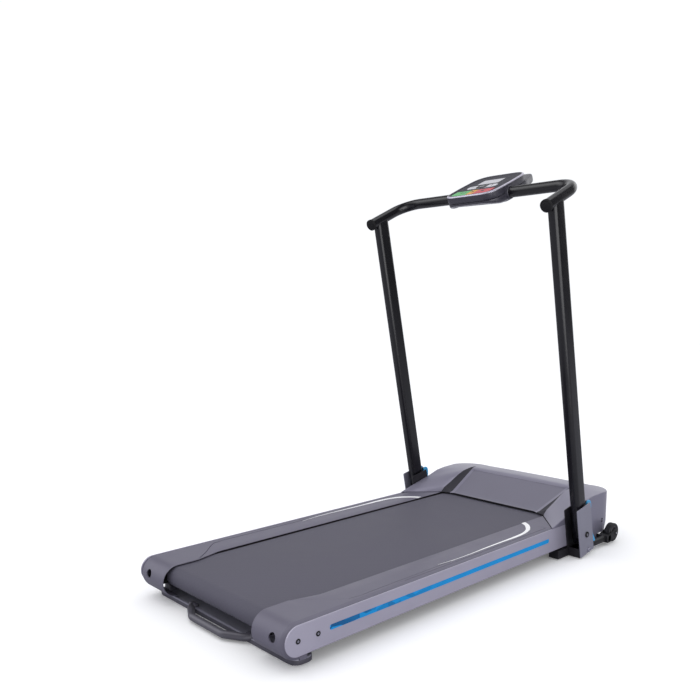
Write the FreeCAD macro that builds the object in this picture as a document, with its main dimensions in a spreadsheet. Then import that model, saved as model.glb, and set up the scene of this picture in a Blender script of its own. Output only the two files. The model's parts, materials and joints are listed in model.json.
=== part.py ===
"""A folding walking treadmill, built as a parametric document in millimetres.

The frame: +X is the walker's right, +Y runs forward from the open rear end to the
motor hood, +Z is up.  The origin is the centre of the footprint on the floor.
Distances called "from the rear" are measured forward from the tip of the deck.
"""
import FreeCAD, Part
import math
import os
import Sketcher
from FreeCAD import Placement, Rotation, Vector

DRIVING_SIZES = {
    # deck and its mouldings
    "deck_width": 600, "nose_radius": 35, "foot_rail_top": 102, "moulding_wall": 3,
    "cover_thickness": 3, "cover_inset": 1.5, "moulding_gap": 1,
    "end_radius": 40, "end_overlap": 20, "end_length": 100, "end_taper": 75, "end_skirt": 60,
    # walking belt, board and rollers
    "belt_width": 400, "belt_thickness": 1.8, "belt_clearance": 0.3, "belt_top": 97,
    "belt_side_gap": 5, "board_thickness": 12, "board_gap": 6, "board_inset": 38,
    "roller_radius": 24, "roller_wall": 3, "roller_overhang": 3, "rear_roller_y": 46,
    "front_roller_y": 1130, "shaft_radius": 5, "bearing_width": 12, "running_gap": 0.05,
    # steel frame
    "tube_width": 30, "tube_wall": 2, "tube_height": 40, "tube_inset": 44,
    "tube_rear": 24, "tube_setback": 48, "end_plate": 4, "cushion_height": 4,
    "cushion_length": 60, "cushion_width": 26, "member_depth": 25, "member_height": 20,
    "member_bottom": 54, "member_first": 200, "member_last": 210, "nose_plate_height": 20,
    # rear base bar and lift handle
    "base_inset": 17, "base_rear": 38, "base_depth": 57, "base_top": 16,
    "base_wall": 3, "base_corner": 18, "pad_height": 3, "pad_side": 24,
    "grip_half_width": 66, "grip_reach": 24, "grip_radius": 8, "grip_z": 14,
    "grip_leg": 54, "grip_bend": 28, "grip_boss": 14, "boss_lip": 1,
    # mast: pivot, brackets, uprights, handlebar
    "pivot_setback": 48, "pivot_z": 70, "lean": 11.7, "upright_width": 30,
    "upright_depth": 50, "upright_wall": 2, "upright_corner": 6,
    "upright_length": 960, "upright_tail": 24, "pivot_bolt_radius": 6, "bolt_head": 11,
    "bolt_head_height": 4, "bar_radius": 16, "bar_wall": 1.6, "bar_bend": 65,
    "bar_rise": 25, "bar_front_reach": 130, "bar_rear_reach": 46, "cap_radius": 17.5,
    "cap_thickness": 6, "cap_plug": 14,
    "bracket_play": 4.2, "plate_thickness": 3, "plate_rear": 41, "plate_front": 34,
    "plate_top": 90, "plate_bottom": 60, "lip_height": 28, "deck_gap": 0.3,
    "foot_bar_width": 28, "foot_bar_length": 85, "foot_bar_top": 28,
    "standoff_behind": 12, "standoff_ahead": 30, "standoff_top": 76,
    # lock levers, in the mast's own frame
    "lever_width": 27, "lever_pin_radius": 3, "lever_y": 40, "lever_z": 79,
    "ear_width": 14, "lever_gap": 0.5, "lever_tip": 46,
    # transport stand and wheels
    "stand_ahead": 16, "stand_z": 21, "stand_arm_length": 175, "stand_arm_radius": 10,
    "stand_pin_radius": 4, "stand_eye_radius": 12, "stand_eye_width": 22,
    "crossbar_radius": 7, "crossbar_back": 36, "wheel_radius": 29, "wheel_z": 32,
    "wheel_width": 20, "hub_radius": 20, "hub_width": 23, "fork_gap": 26,
    "fork_plate": 3, "axle_radius": 4,
    # motor hood
    "wing_length": 100, "hood_setback": 63, "bay_length": 218, "hood_bottom": 17,
    "hood_step": 32, "hood_step_ahead": 92, "hood_crest": 165, "hood_crest_ahead": 110,
    "hood_crown": 6, "hood_brow": 153, "hood_wall": 3, "hood_corner": 95,
    "recess_setback": 47, "recess_floor": 102, "recess_slope": 22, "recess_inset": 45,
    "recess_depth": 16, "hood_notch_gap": 1,
    # drive
    "motor_ahead": 85, "motor_z": 84, "motor_radius": 39, "motor_left": -150,
    "motor_length": 160, "motor_pulley_radius": 13, "roller_pulley_radius": 36,
    "pulley_width": 26, "drive_belt_thickness": 4, "drive_belt_width": 20,
    "flywheel_radius": 40, "flywheel_width": 12, "mount_plate": 3,
    "mount_depth": 80, "controller_left": 30,
    "controller_width": 170, "controller_depth": 65, "controller_height": 34,
    "fin_count": 6, "fin_height": 14, "fin_thickness": 3,
    # power inlet and switch
    "inlet_x": -120, "inlet_z": 76, "inlet_width": 28, "inlet_height": 20,
    "inlet_depth": 22, "inlet_plate": 3, "switch_x": -86,
    "switch_width": 14, "switch_height": 22, "switch_gap": 3, "switch_tilt": 6,
    "switch_pin_radius": 1.5,
    # end feet that the folded deck stands on
    "end_foot_x": 170, "end_foot_width": 26, "end_foot_height": 14,
    "end_foot_low": 62, "end_foot_high": 131, "end_foot_thickness": 7,
    # console, in a frame on the handlebar's cross tube
    "console_tilt": 24, "console_half_width": 96, "console_user_edge": 84,
    "console_face_end": 122, "console_shoulder": 95, "console_chin": 184,
    "console_chin_half": 62, "console_top": 27, "console_bottom": 20,
    "console_lip": 1, "console_slope": 60, "console_split": 5, "console_wall": 2.5,
    "console_corner": 58, "panel_depth": 1.2, "panel_rim": 12,
    "sleeve_radius": 19.5, "sleeve_width": 14,
    "key_height": 1.5, "key_gap": 0.3, "key_stem": 19.8,
    "colour_key_depth": 34, "colour_key_y": -48, "outer_key_width": 46,
    "outer_key_pitch": 37, "middle_key_width": 22,
    "pill_key_width": 34, "pill_key_depth": 24, "pill_key_pitch": 36, "pill_key_y": 2,
    "board_z": 17, "board_plate": 1.6, "board_half": 66, "board_user_edge": 68,
    "board_front": 20, "safety_grip": 32, "safety_length": 16,
    "safety_stem": 16, "safety_height": 6, "safety_z": -10,
    # fasteners
    "screw_radius": 4.5, "screw_head": 1.6, "screw_first": 34, "screw_second": 87,
    "tension_head": 6.5, "tension_head_length": 8, "tension_radius": 4,
    "tension_hole": 10,
}

DOCUMENT = FreeCAD.newDocument("FoldingTreadmill")
SHEET = DOCUMENT.addObject("Spreadsheet::Sheet", "Sizes")
NODES = []
BIG = 2000


class Size:
    """A length or angle: its value, and the spreadsheet formula that gives it."""

    def __init__(self, value, formula):
        self.value = float(value)
        self.formula = formula

    def joined(self, sign, other, value):
        return Size(value, f"({self.formula} {sign} {other.formula})")

    def __add__(self, other):
        other = as_size(other)
        return self.joined("+", other, self.value + other.value)

    def __sub__(self, other):
        other = as_size(other)
        return self.joined("-", other, self.value - other.value)

    def __mul__(self, other):
        other = as_size(other)
        return self.joined("*", other, self.value * other.value)

    def __truediv__(self, other):
        other = as_size(other)
        return self.joined("/", other, self.value / other.value)

    def __radd__(self, other):
        return as_size(other) + self

    def __rsub__(self, other):
        return as_size(other) - self

    def __rmul__(self, other):
        return as_size(other) * self

    def __neg__(self):
        return Size(-self.value, f"(-1 * {self.formula})")


def as_size(number):
    return number if isinstance(number, Size) else Size(number, f"({number})")


def sine(angle):
    return Size(math.sin(math.radians(angle.value)), f"sin({angle.formula})")


def cosine(angle):
    return Size(math.cos(math.radians(angle.value)), f"cos({angle.formula})")


class Sizes:
    """Writes the driving sizes into the spreadsheet, one attribute for each."""

    def __init__(self, table):
        for row, (name, number) in enumerate(table.items(), start=1):
            SHEET.set(f"A{row}", name)
            SHEET.set(f"B{row}", str(number))
            SHEET.setAlias(f"B{row}", name)
            setattr(self, name, Size(number, f"Sizes.{name}"))
        DOCUMENT.recompute()


d = Sizes(DRIVING_SIZES)


# ---------------------------------------------------------------- helpers

def bind(thing, path, size):
    thing.setExpression(path, as_size(size).formula)


def place(thing, spot, tilt=None):
    """Put a thing at a spot, turned about the X axis by a positive tilt."""
    if tilt is not None:
        thing.Placement = Placement(Vector(), Rotation(Vector(1, 0, 0), tilt.value))
        bind(thing, "Placement.Rotation.Angle", tilt)
    for axis, coordinate in zip("xyz", spot):
        bind(thing, f"Placement.Base.{axis}", coordinate)
    return thing


def node(name, thing):
    """Give a finished piece its name, and list it for export."""
    thing.Label = name
    NODES.append(thing)
    return thing


def box(name, low, high):
    """A block between two corners."""
    block = DOCUMENT.addObject("Part::Box", name)
    for side, start, end in zip(("Length", "Width", "Height"), low, high):
        bind(block, side, as_size(end) - as_size(start))
    return place(block, low)


TURNS = {"x": Rotation(Vector(0, 1, 0), 90), "y": Rotation(Vector(1, 0, 0), -90),
         "z": Rotation()}


def rod(name, axis, start, length, radius):
    """A cylinder that runs from its start point along +X, +Y or +Z."""
    cylinder = DOCUMENT.addObject("Part::Cylinder", name)
    bind(cylinder, "Radius", radius)
    bind(cylinder, "Height", length)
    cylinder.Placement = Placement(Vector(), TURNS[axis])
    for letter, coordinate in zip("xyz", start):
        bind(cylinder, f"Placement.Base.{letter}", coordinate)
    return cylinder


def fuse(name, things):
    union = DOCUMENT.addObject("Part::MultiFuse", name)
    union.Shapes = list(things)
    return union


def cut(name, base, tools):
    tools = list(tools)
    tool = tools[0] if len(tools) == 1 else fuse(f"{name}_cutters", tools)
    result = DOCUMENT.addObject("Part::Cut", name)
    result.Base = base
    result.Tool = tool
    return result


def common(name, things):
    overlap = DOCUMENT.addObject("Part::MultiCommon", name)
    overlap.Shapes = list(things)
    return overlap


def group(name, things):
    """Several separate solids that share one node."""
    compound = DOCUMENT.addObject("Part::Compound", name)
    compound.Links = list(things)
    return compound


def mirrored(name, thing):
    """The left-hand twin of a right-hand piece."""
    mirror = DOCUMENT.addObject("Part::Mirroring", name)
    mirror.Source = thing
    mirror.Normal = Vector(1, 0, 0)
    return mirror


def both_sides(name, right):
    """The right-hand piece and its mirror image, as two nodes."""
    node(f"{name}_right", right)
    node(f"{name}_left", mirrored(f"{name}_left", right))


def ring(name, axis, start, length, outer, inner):
    solid = rod(f"{name}_outer", axis, start, length, outer)
    return cut(name, solid, [rod(f"{name}_bore", axis, start, length, inner)])


def new_body(name):
    return DOCUMENT.addObject("PartDesign::Body", name)


def new_sketch(body, plane, offset=0):
    """A sketch on one of its own body's origin planes, moved along the plane's normal."""
    sketch = body.newObject("Sketcher::SketchObject", f"{body.Name}_sketch")
    features = body.Origin.OriginFeatures
    sketch.AttachmentSupport = [(next(f for f in features if f.Role == plane), "")]
    sketch.MapMode = "FlatFace"
    bind(sketch, "AttachmentOffset.Base.z", offset)
    return sketch


def constrain(sketch, size, kind, *where):
    """Add a dimension to a sketch and bind it to the spreadsheet."""
    size = as_size(size)
    index = sketch.addConstraint(Sketcher.Constraint(kind, *where, size.value))
    bind(sketch, f"Constraints[{index}]", size)


def pin(sketch, shape, end, spot):
    """Hold one end of a line at a spot."""
    for kind, coordinate in zip(("DistanceX", "DistanceY"), spot):
        constrain(sketch, coordinate, kind, shape, end)


def flat(spot):
    return Vector(as_size(spot[0]).value, as_size(spot[1]).value, 0)


def add_polygon(sketch, corners):
    first = sketch.GeometryCount
    spots = [flat(corner) for corner in corners]
    for start, end in zip(spots, spots[1:] + spots[:1]):
        sketch.addGeometry(Part.LineSegment(start, end), False)
    for index, corner in enumerate(corners):
        after = first + (index + 1) % len(corners)
        sketch.addConstraint(Sketcher.Constraint("Coincident", first + index, 2, after, 1))
        pin(sketch, first + index, 1, corner)


def add_circle(sketch, centre, radius):
    radius = as_size(radius)
    circle = Part.Circle(flat(centre), Vector(0, 0, 1), radius.value)
    index = sketch.addGeometry(circle, False)
    pin(sketch, index, 3, centre)
    constrain(sketch, radius, "Radius", index)


def add_rounded_rectangle(sketch, low, high, radius):
    """A rectangle with four round corners, every line and arc dimensioned."""
    radius = as_size(radius)
    x0, y0, x1, y1 = (as_size(v).value for v in (*low, *high))
    r = radius.value
    ends = [((x0 + r, y0), (x1 - r, y0)), ((x1, y0 + r), (x1, y1 - r)),
            ((x1 - r, y1), (x0 + r, y1)), ((x0, y1 - r), (x0, y0 + r))]
    centres = [(x1 - r, y0 + r), (x1 - r, y1 - r), (x0 + r, y1 - r), (x0 + r, y0 + r)]
    first = sketch.GeometryCount
    for start, end in ends:
        sketch.addGeometry(Part.LineSegment(Vector(*start, 0), Vector(*end, 0)), False)
    for index, centre in enumerate(centres):
        circle = Part.Circle(Vector(*centre, 0), Vector(0, 0, 1), r)
        turn = math.pi / 2 * (index - 1)
        sketch.addGeometry(Part.ArcOfCircle(circle, turn, turn + math.pi / 2), False)
    for index in range(4):
        line, after, arc = first + index, first + (index + 1) % 4, first + 4 + index
        sketch.addConstraint(Sketcher.Constraint("Tangent", line, 2, arc, 1))
        sketch.addConstraint(Sketcher.Constraint("Tangent", arc, 2, after, 1))
        sketch.addConstraint(Sketcher.Constraint("Vertical" if index % 2 else "Horizontal", line))
        constrain(sketch, radius, "Radius", arc)
    for index, (kind, size) in enumerate((("DistanceY", low[1]), ("DistanceX", high[0]),
                                          ("DistanceY", high[1]), ("DistanceX", low[0]))):
        constrain(sketch, size, kind, first + index, 1)


def add_belt_loop(sketch, first_centre, first_radius, second_centre, second_radius):
    """The outline of a belt that runs tight round two circles."""
    start, end = flat(first_centre), flat(second_centre)
    radii = [as_size(first_radius), as_size(second_radius)]
    along = end - start
    bearing = math.atan2(along.y, along.x)
    spread = math.acos((radii[0].value - radii[1].value) / along.Length)
    touch = [bearing + spread, bearing - spread]
    base = sketch.GeometryCount
    for centre, radius, angles in ((start, radii[0], touch), (end, radii[1], touch[::-1])):
        circle = Part.Circle(centre, Vector(0, 0, 1), radius.value)
        sketch.addGeometry(Part.ArcOfCircle(circle, *angles), False)
    for angle in touch:
        out = Vector(math.cos(angle), math.sin(angle), 0)
        sketch.addGeometry(Part.LineSegment(start + out * radii[0].value,
                                            end + out * radii[1].value), False)
    for arc, end_of_arc, line, end_of_line in ((0, 1, 2, 1), (0, 2, 3, 1),
                                               (1, 2, 2, 2), (1, 1, 3, 2)):
        sketch.addConstraint(Sketcher.Constraint("Tangent", base + arc, end_of_arc,
                                                 base + line, end_of_line))
    for arc, centre, radius in ((0, first_centre, radii[0]), (1, second_centre, radii[1])):
        pin(sketch, base + arc, 3, centre)
        constrain(sketch, radius, "Radius", base + arc)


def add_bent_path(sketch, corners, radius):
    """Straight runs between corners, joined by tangent arcs of one bend radius."""
    radius = as_size(radius)
    spots = [flat(corner) for corner in corners]
    guides = []
    for start, end in zip(spots, spots[1:]):
        guides.append(sketch.addGeometry(Part.LineSegment(start, end), True))
    for index, guide in enumerate(guides):
        pin(sketch, guide, 1, corners[index])
    pin(sketch, guides[-1], 2, corners[-1])
    for before, after in zip(guides, guides[1:]):
        sketch.addConstraint(Sketcher.Constraint("Coincident", before, 2, after, 1))
    starts, ends, bends = [spots[0]], [], []
    for before, corner, after in zip(spots, spots[1:], spots[2:]):
        back = (before - corner).normalize()
        on = (after - corner).normalize()
        half_angle = back.getAngle(on) / 2
        trim = radius.value / math.tan(half_angle)
        middle = (back + on).normalize() * (radius.value / math.sin(half_angle))
        ends.append(corner + back * trim)
        starts.append(corner + on * trim)
        nearest = corner + middle - (back + on).normalize() * radius.value
        bends.append(Part.Arc(ends[-1], nearest, starts[-1]))
    ends.append(spots[-1])
    runs = [sketch.addGeometry(Part.LineSegment(a, b), False) for a, b in zip(starts, ends)]
    sketch.addConstraint(Sketcher.Constraint("Coincident", runs[0], 1, guides[0], 1))
    sketch.addConstraint(Sketcher.Constraint("Coincident", runs[-1], 2, guides[-1], 2))
    for index, bend in enumerate(bends):
        arc = sketch.addGeometry(bend, False)
        first_end = sketch.getPoint(arc, 1)
        near, far = (1, 2) if first_end.distanceToPoint(ends[index]) < 1e-6 else (2, 1)
        sketch.addConstraint(Sketcher.Constraint("Tangent", runs[index], 2, arc, near))
        sketch.addConstraint(Sketcher.Constraint("Tangent", runs[index + 1], 1, arc, far))
        sketch.addConstraint(Sketcher.Constraint("PointOnObject", runs[index], 2, guides[index]))
        sketch.addConstraint(
            Sketcher.Constraint("PointOnObject", runs[index + 1], 1, guides[index + 1]))
        constrain(sketch, radius, "Radius", arc)


def pad(body, sketch, length, midplane=False):
    feature = body.newObject("PartDesign::Pad", f"{body.Name}_pad")
    feature.Profile = sketch
    bind(feature, "Length", length)
    feature.Midplane = midplane
    body.Tip = feature
    DOCUMENT.recompute()
    return body


def bore_across(body, spots, radius):
    """Round holes right through a body along X."""
    sketch = new_sketch(body, "YZ_Plane")
    for spot in spots:
        add_circle(sketch, spot, radius)
    pocket = body.newObject("PartDesign::Pocket", f"{body.Name}_bore")
    pocket.Profile = sketch
    pocket.Type = "ThroughAll"
    pocket.Midplane = True
    body.Tip = pocket
    DOCUMENT.recompute()
    return body


def round_edges(body, radius, wanted):
    """Fillet the edges that a test picks."""
    base = body.Tip
    names = [f"Edge{i}" for i, edge in enumerate(base.Shape.Edges, start=1) if wanted(edge)]
    fillet = body.newObject("PartDesign::Fillet", f"{body.Name}_fillet")
    fillet.Base = (base, names)
    bind(fillet, "Radius", radius)
    body.Tip = fillet
    DOCUMENT.recompute()
    return body


def runs_along(edge, axis):
    if len(edge.Vertexes) != 2:
        return False
    span = edge.Vertexes[1].Point - edge.Vertexes[0].Point
    across = [abs(getattr(span, letter)) for letter in "xyz" if letter != axis]
    return max(across) < 1e-6 < span.Length


def across(name, corners, width, spot=(0, 0, 0), tilt=None):
    """An outline in the (Y, Z) plane, padded half its width to each side along X."""
    body = new_body(name)
    sketch = new_sketch(body, "YZ_Plane")
    add_polygon(sketch, corners)
    pad(body, sketch, width, midplane=True)
    return place(body, spot, tilt)


def upward(name, corners, height, spot=(0, 0, 0), tilt=None):
    """An outline in the (X, Y) plane, padded up."""
    body = new_body(name)
    sketch = new_sketch(body, "XY_Plane")
    add_polygon(sketch, corners)
    pad(body, sketch, height)
    return place(body, spot, tilt)


# ------------------------------------------------- places worked out from the sizes

half_width = d.deck_width / 2
pivot_y = d.front_roller_y - d.pivot_setback
stand_y = pivot_y + d.stand_ahead
wheel_y = stand_y + d.stand_arm_length
hood_front = d.front_roller_y + d.bay_length
hood_rear = d.front_roller_y - d.hood_setback
wing_rear = hood_rear - d.wing_length
recess_rear = d.front_roller_y - d.recess_setback
moulding_end = hood_rear - d.moulding_gap
tube_front = hood_front - d.tube_setback
motor_y = d.front_roller_y + d.motor_ahead
standoff_rear = pivot_y - d.standoff_behind
standoff_front = pivot_y + d.standoff_ahead
foot_bar_rear = pivot_y - d.foot_bar_length
overall_length = hood_front + d.end_foot_thickness


def along(distance):
    """The Y of a place that lies this far forward from the tip of the deck."""
    return distance - overall_length / 2


inner_edge = d.belt_width / 2 + d.belt_side_gap
moulding_outer = half_width - d.cover_thickness
nose_z = d.foot_rail_top - d.nose_radius
cover_bottom = nose_z - d.nose_radius + d.cover_inset
board_top = d.belt_top - d.belt_thickness
roller_z = board_top - d.belt_clearance - d.roller_radius
board_bottom = board_top - d.board_thickness
tube_centre = half_width - d.tube_inset
tube_top = board_bottom - d.cushion_height
tube_bottom = tube_top - d.tube_height
tube_inner = tube_centre - d.tube_width / 2
tube_outer = tube_centre + d.tube_width / 2
pivot = (0, along(pivot_y), d.pivot_z)
roller_half = d.belt_width / 2 + d.roller_overhang
base_half_width = half_width - d.base_inset
base_front = d.base_rear + d.base_depth
member_pitch = (d.front_roller_y - d.member_last - d.member_first) / 2
pulley_left = -(roller_half + d.pulley_width)
bracket_inner = half_width + d.deck_gap
bracket_gap = d.upright_width + d.bracket_play * 2
bracket_outer = bracket_inner + d.plate_thickness * 2 + bracket_gap
mast_x = (bracket_inner + bracket_outer) / 2
foot_bar_inner = half_width - d.foot_bar_width
elbow_y = along(pivot_y) - d.upright_length * sine(d.lean)
elbow_z = d.pivot_z + d.upright_length * cosine(d.lean)
cross_y = elbow_y + d.bar_front_reach * cosine(d.bar_rise)
cross_z = elbow_z + d.bar_front_reach * sine(d.bar_rise)
cross_spot = (0, cross_y, cross_z)


# ------------------------------------------------- steel frame

def frame_rail():
    """A rectangular side tube with a rear end plate and seats for both roller shafts."""
    low = (tube_inner, along(d.tube_rear), tube_bottom)
    high = (tube_outer, along(tube_front), tube_top)
    wall = d.tube_wall
    hollow = box("rail_hollow", (low[0] + wall, low[1], low[2] + wall),
                 (high[0] - wall, high[1], high[2] - wall))
    tube = cut("rail_tube", box("rail_block", low, high), [hollow])
    plate = box("rail_end_plate", (low[0], low[1] - d.end_plate, low[2]),
                (high[0], low[1], high[2]))
    half_slot = d.shaft_radius + d.running_gap
    slot = box("rear_shaft_slot", (low[0] - 1, along(d.rear_roller_y) - 16, roller_z - half_slot),
               (low[0] + wall + 1, along(d.rear_roller_y) + 16, roller_z + half_slot))
    seat = rod("front_shaft_seat", "x", (low[0] - 1, along(d.front_roller_y), roller_z),
               wall + 2, d.shaft_radius)
    bolt_hole = rod("tension_bolt_hole", "y",
                    (tube_centre, low[1] - d.end_plate - 1, roller_z),
                    d.end_plate + 2, d.tension_radius)
    welded = fuse("rail_welded", [tube, plate])
    return cut("frame_rail_right", welded, [slot, seat, bolt_hole])


def cross_member(name, rear, bottom):
    """A hollow tube between the two side tubes."""
    low = (-tube_inner, rear, bottom)
    high = (tube_inner, rear + d.member_depth, bottom + d.member_height)
    wall = d.tube_wall
    hollow = box(f"{name}_hollow", (low[0], low[1] + wall, low[2] + wall),
                 (high[0], high[1] - wall, high[2] - wall))
    return cut(name, box(f"{name}_block", low, high), [hollow])


def cross_members():
    members = [cross_member(f"member_{i}", along(d.member_first + member_pitch * i),
                            d.member_bottom) for i in range(3)]
    nose = box("nose_plate", (-tube_centre, along(tube_front), tube_bottom),
               (tube_centre, along(tube_front) + d.end_plate,
                tube_bottom + d.nose_plate_height))
    return group("cross_members", members + [nose])


def deck_cushions():
    pads = []
    for i in range(3):
        for side in (-1, 1):
            centre = tube_centre * side
            rear = along(d.member_first + member_pitch * i) - d.cushion_length / 4
            pads.append(box(f"cushion_{i}_{side + 1}",
                            (centre - d.cushion_width / 2, rear, tube_top),
                            (centre + d.cushion_width / 2, rear + d.cushion_length,
                             board_bottom)))
    return group("deck_cushions", pads)


both_sides("frame_rail", frame_rail())
node("cross_members", cross_members())
node("deck_cushions", deck_cushions())
board_rear = along(d.rear_roller_y + d.roller_radius + d.board_gap)
board_front = along(d.front_roller_y - d.roller_pulley_radius - d.belt_clearance
                    - d.drive_belt_thickness - d.board_gap)
board_half_width = half_width - d.board_inset
node("walking_board", box("walking_board", (-board_half_width, board_rear, board_bottom),
                          (board_half_width, board_front, board_top)))


# ------------------------------------------------- belt and rollers

def walking_belt():
    inner = d.roller_radius + d.belt_clearance
    centres = [(along(y), roller_z) for y in (d.rear_roller_y, d.front_roller_y)]
    body = new_body("walking_belt")
    sketch = new_sketch(body, "YZ_Plane")
    for radius in (inner + d.belt_thickness, inner):
        add_belt_loop(sketch, centres[0], radius, centres[1], radius)
    return pad(body, sketch, d.belt_width, midplane=True)


def roller(name, y):
    """The tube, the two bearings in its ends, and the shaft that they turn on."""
    spot = (-roller_half, along(y), roller_z)
    tube = ring(f"{name}_roller", "x", spot, roller_half * 2, d.roller_radius,
                d.roller_radius - d.roller_wall)
    bearings = []
    for side, x in (("left", -roller_half), ("right", roller_half - d.bearing_width)):
        bearings.append(ring(f"{name}_bearing_{side}", "x", (x, along(y), roller_z),
                             d.bearing_width, d.roller_radius - d.roller_wall,
                             d.shaft_radius + d.running_gap))
    reach = tube_outer - d.end_plate
    shaft = rod(f"{name}_roller_shaft", "x", (-reach, along(y), roller_z), reach * 2,
                d.shaft_radius)
    node(f"{name}_roller", tube)
    node(f"{name}_roller_bearings", group(f"{name}_roller_bearings", bearings))
    node(f"{name}_roller_shaft", shaft)


def tension_bolts():
    bolts = []
    for side in (-1, 1):
        x = tube_centre * side
        seat = along(d.tube_rear) - d.end_plate
        shank_end = along(d.rear_roller_y) - d.shaft_radius
        head = rod(f"tension_head_{side + 1}", "y", (x, seat - d.tension_head_length, roller_z),
                   d.tension_head_length, d.tension_head)
        shank = rod(f"tension_shank_{side + 1}", "y", (x, seat, roller_z), shank_end - seat,
                    d.tension_radius)
        bolts.append(fuse(f"tension_bolt_{side + 1}", [head, shank]))
    return group("tension_bolts", bolts)


node("walking_belt", walking_belt())
roller("rear", d.rear_roller_y)
roller("front", d.front_roller_y)
node("tension_bolts", tension_bolts())


# ------------------------------------------------- foot rails and side covers

def nosed_outline(name, reach, inset, x_low, x_high, end):
    """A block with a half-round rear end, set in from a round of the given reach."""
    centre_z, radius = d.foot_rail_top - reach, reach - inset
    nose = rod(f"{name}_nose", "x", (x_low, along(reach), centre_z), x_high - x_low, radius)
    straight = box(f"{name}_straight", (x_low, along(reach), centre_z - radius),
                   (x_high, end, centre_z + radius))
    return fuse(f"{name}_outline", [nose, straight])


def foot_rail():
    """The moulded step beside the belt: open below, and half-round and wider at the rear."""
    end, wall = along(moulding_end), d.moulding_wall
    end_inner = inner_edge - d.end_overlap
    block = nosed_outline("foot_rail", d.end_radius, 0, end_inner, moulding_outer, end)
    plan = upward("foot_rail_plan",
                  [(end_inner, along(0)), (moulding_outer, along(0)), (moulding_outer, end),
                   (inner_edge, end), (inner_edge, along(d.end_length + d.end_taper)),
                   (end_inner, along(d.end_length))], d.foot_rail_top)
    outer = common("foot_rail_outer", [block, plan])
    cavity = nosed_outline("foot_cavity", d.end_radius, wall, end_inner - 1,
                           moulding_outer - wall, end + 1)
    below = box("foot_rail_below", (end_inner - 1, along(d.end_radius), -1),
                (moulding_outer - wall, end + 1, nose_z))
    skirt = box("foot_rail_skirt", (end_inner - 1, along(d.end_skirt), -1),
                (moulding_outer + 1, end + 1, cover_bottom))
    hole = rod("adjuster_hole", "y", (tube_centre, along(-1), roller_z),
               d.end_radius, d.tension_hole)
    return cut("foot_rail_right", outer, [cavity, below, skirt, hole])


def side_cover():
    """The flat outer trim plate with its half-round rear end."""
    return nosed_outline("side_cover", d.nose_radius, d.cover_inset, moulding_outer,
                         half_width, along(moulding_end))


def screw(name, side, y, z):
    """A pan-head screw on the outer face of a side plate."""
    x = half_width if side > 0 else -half_width - d.screw_head
    head = rod(f"{name}_head", "x", (x, along(y), z), d.screw_head, d.screw_radius)
    socket = rod(f"{name}_socket", "x", (x if side < 0 else x + d.screw_head / 2, along(y), z),
                 d.screw_head / 2, d.screw_radius / 2)
    return cut(name, head, [socket])


def trim_screws():
    screws = []
    for side in (-1, 1):
        hood_screw_y = hood_front - d.hood_corner
        places = ((d.screw_first, nose_z), (d.screw_second, nose_z),
                  (hood_screw_y, nose_z + d.screw_radius * 1.5),
                  (hood_screw_y, nose_z - d.screw_radius * 1.5))
        for index, (y, z) in enumerate(places):
            screws.append(screw(f"screw_{side + 1}_{index}", side, y, z))
    return group("trim_screws", screws)


both_sides("foot_rail", foot_rail())
both_sides("side_cover", side_cover())
node("trim_screws", trim_screws())


# ------------------------------------------------- rear base bar, handle and pads

def rear_base_bar():
    """A tray across the back, with a riser to each side tube and a boss for each grip leg."""
    depth = base_front - d.base_rear
    body = new_body("base_tray")
    sketch = new_sketch(body, "XY_Plane")
    add_rounded_rectangle(sketch, (-base_half_width, along(d.base_rear)),
                          (base_half_width, along(base_front)), d.base_corner)
    pad(body, sketch, d.base_top - d.pad_height)
    place(body, (0, 0, d.pad_height))
    wall = d.base_wall
    hollow = box("base_hollow", (-base_half_width + d.base_corner,
                                 along(d.base_rear) + wall, 0),
                 (base_half_width - d.base_corner, along(base_front) - wall,
                  d.base_top - wall))
    tray = cut("base_tray_shell", body, [hollow])
    added = []
    for side in (-1, 1):
        centre, leg = tube_centre * side, (d.grip_half_width + d.grip_leg) * side
        added.append(box(f"base_riser_{side + 1}",
                         (centre - d.tube_width / 2, along(base_front) - depth * 2 / 3,
                          d.base_top - wall),
                         (centre + d.tube_width / 2, along(base_front), tube_bottom)))
        added.append(box(f"base_boss_{side + 1}",
                         (leg - d.grip_boss, along(d.base_rear), d.base_top - wall),
                         (leg + d.grip_boss, along(d.base_rear) + d.grip_boss,
                          d.grip_z + d.grip_radius + d.boss_lip)))
    return fuse("rear_base_bar", [tray] + added)


def lift_handle():
    """A round grip that stands out behind the base bar on two splayed legs."""
    body = new_body("handle_tube")
    path = new_sketch(body, "XY_Plane")
    far = -(d.grip_reach + d.grip_radius / 2)
    leg_x = d.grip_half_width + d.grip_leg
    add_bent_path(path, [(-leg_x, 0), (-d.grip_half_width, far), (d.grip_half_width, far),
                         (leg_x, 0)], d.grip_bend)
    # the section stands across the middle of the grip, and the path passes through it
    section = new_sketch(body, "YZ_Plane")
    add_circle(section, (far, 0), d.grip_radius)
    sweep = body.newObject("PartDesign::AdditivePipe", "handle_sweep")
    sweep.Profile = section
    sweep.Spine = (path, [])
    body.Tip = sweep
    place(body, (0, along(d.base_rear) - d.grip_radius / 4, d.grip_z))
    DOCUMENT.recompute()
    plane = box("handle_trim", (-leg_x * 2, along(d.base_rear), 0),
                (leg_x * 2, along(base_front), d.grip_z * 2))
    return cut("lift_handle", body, [plane])


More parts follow.
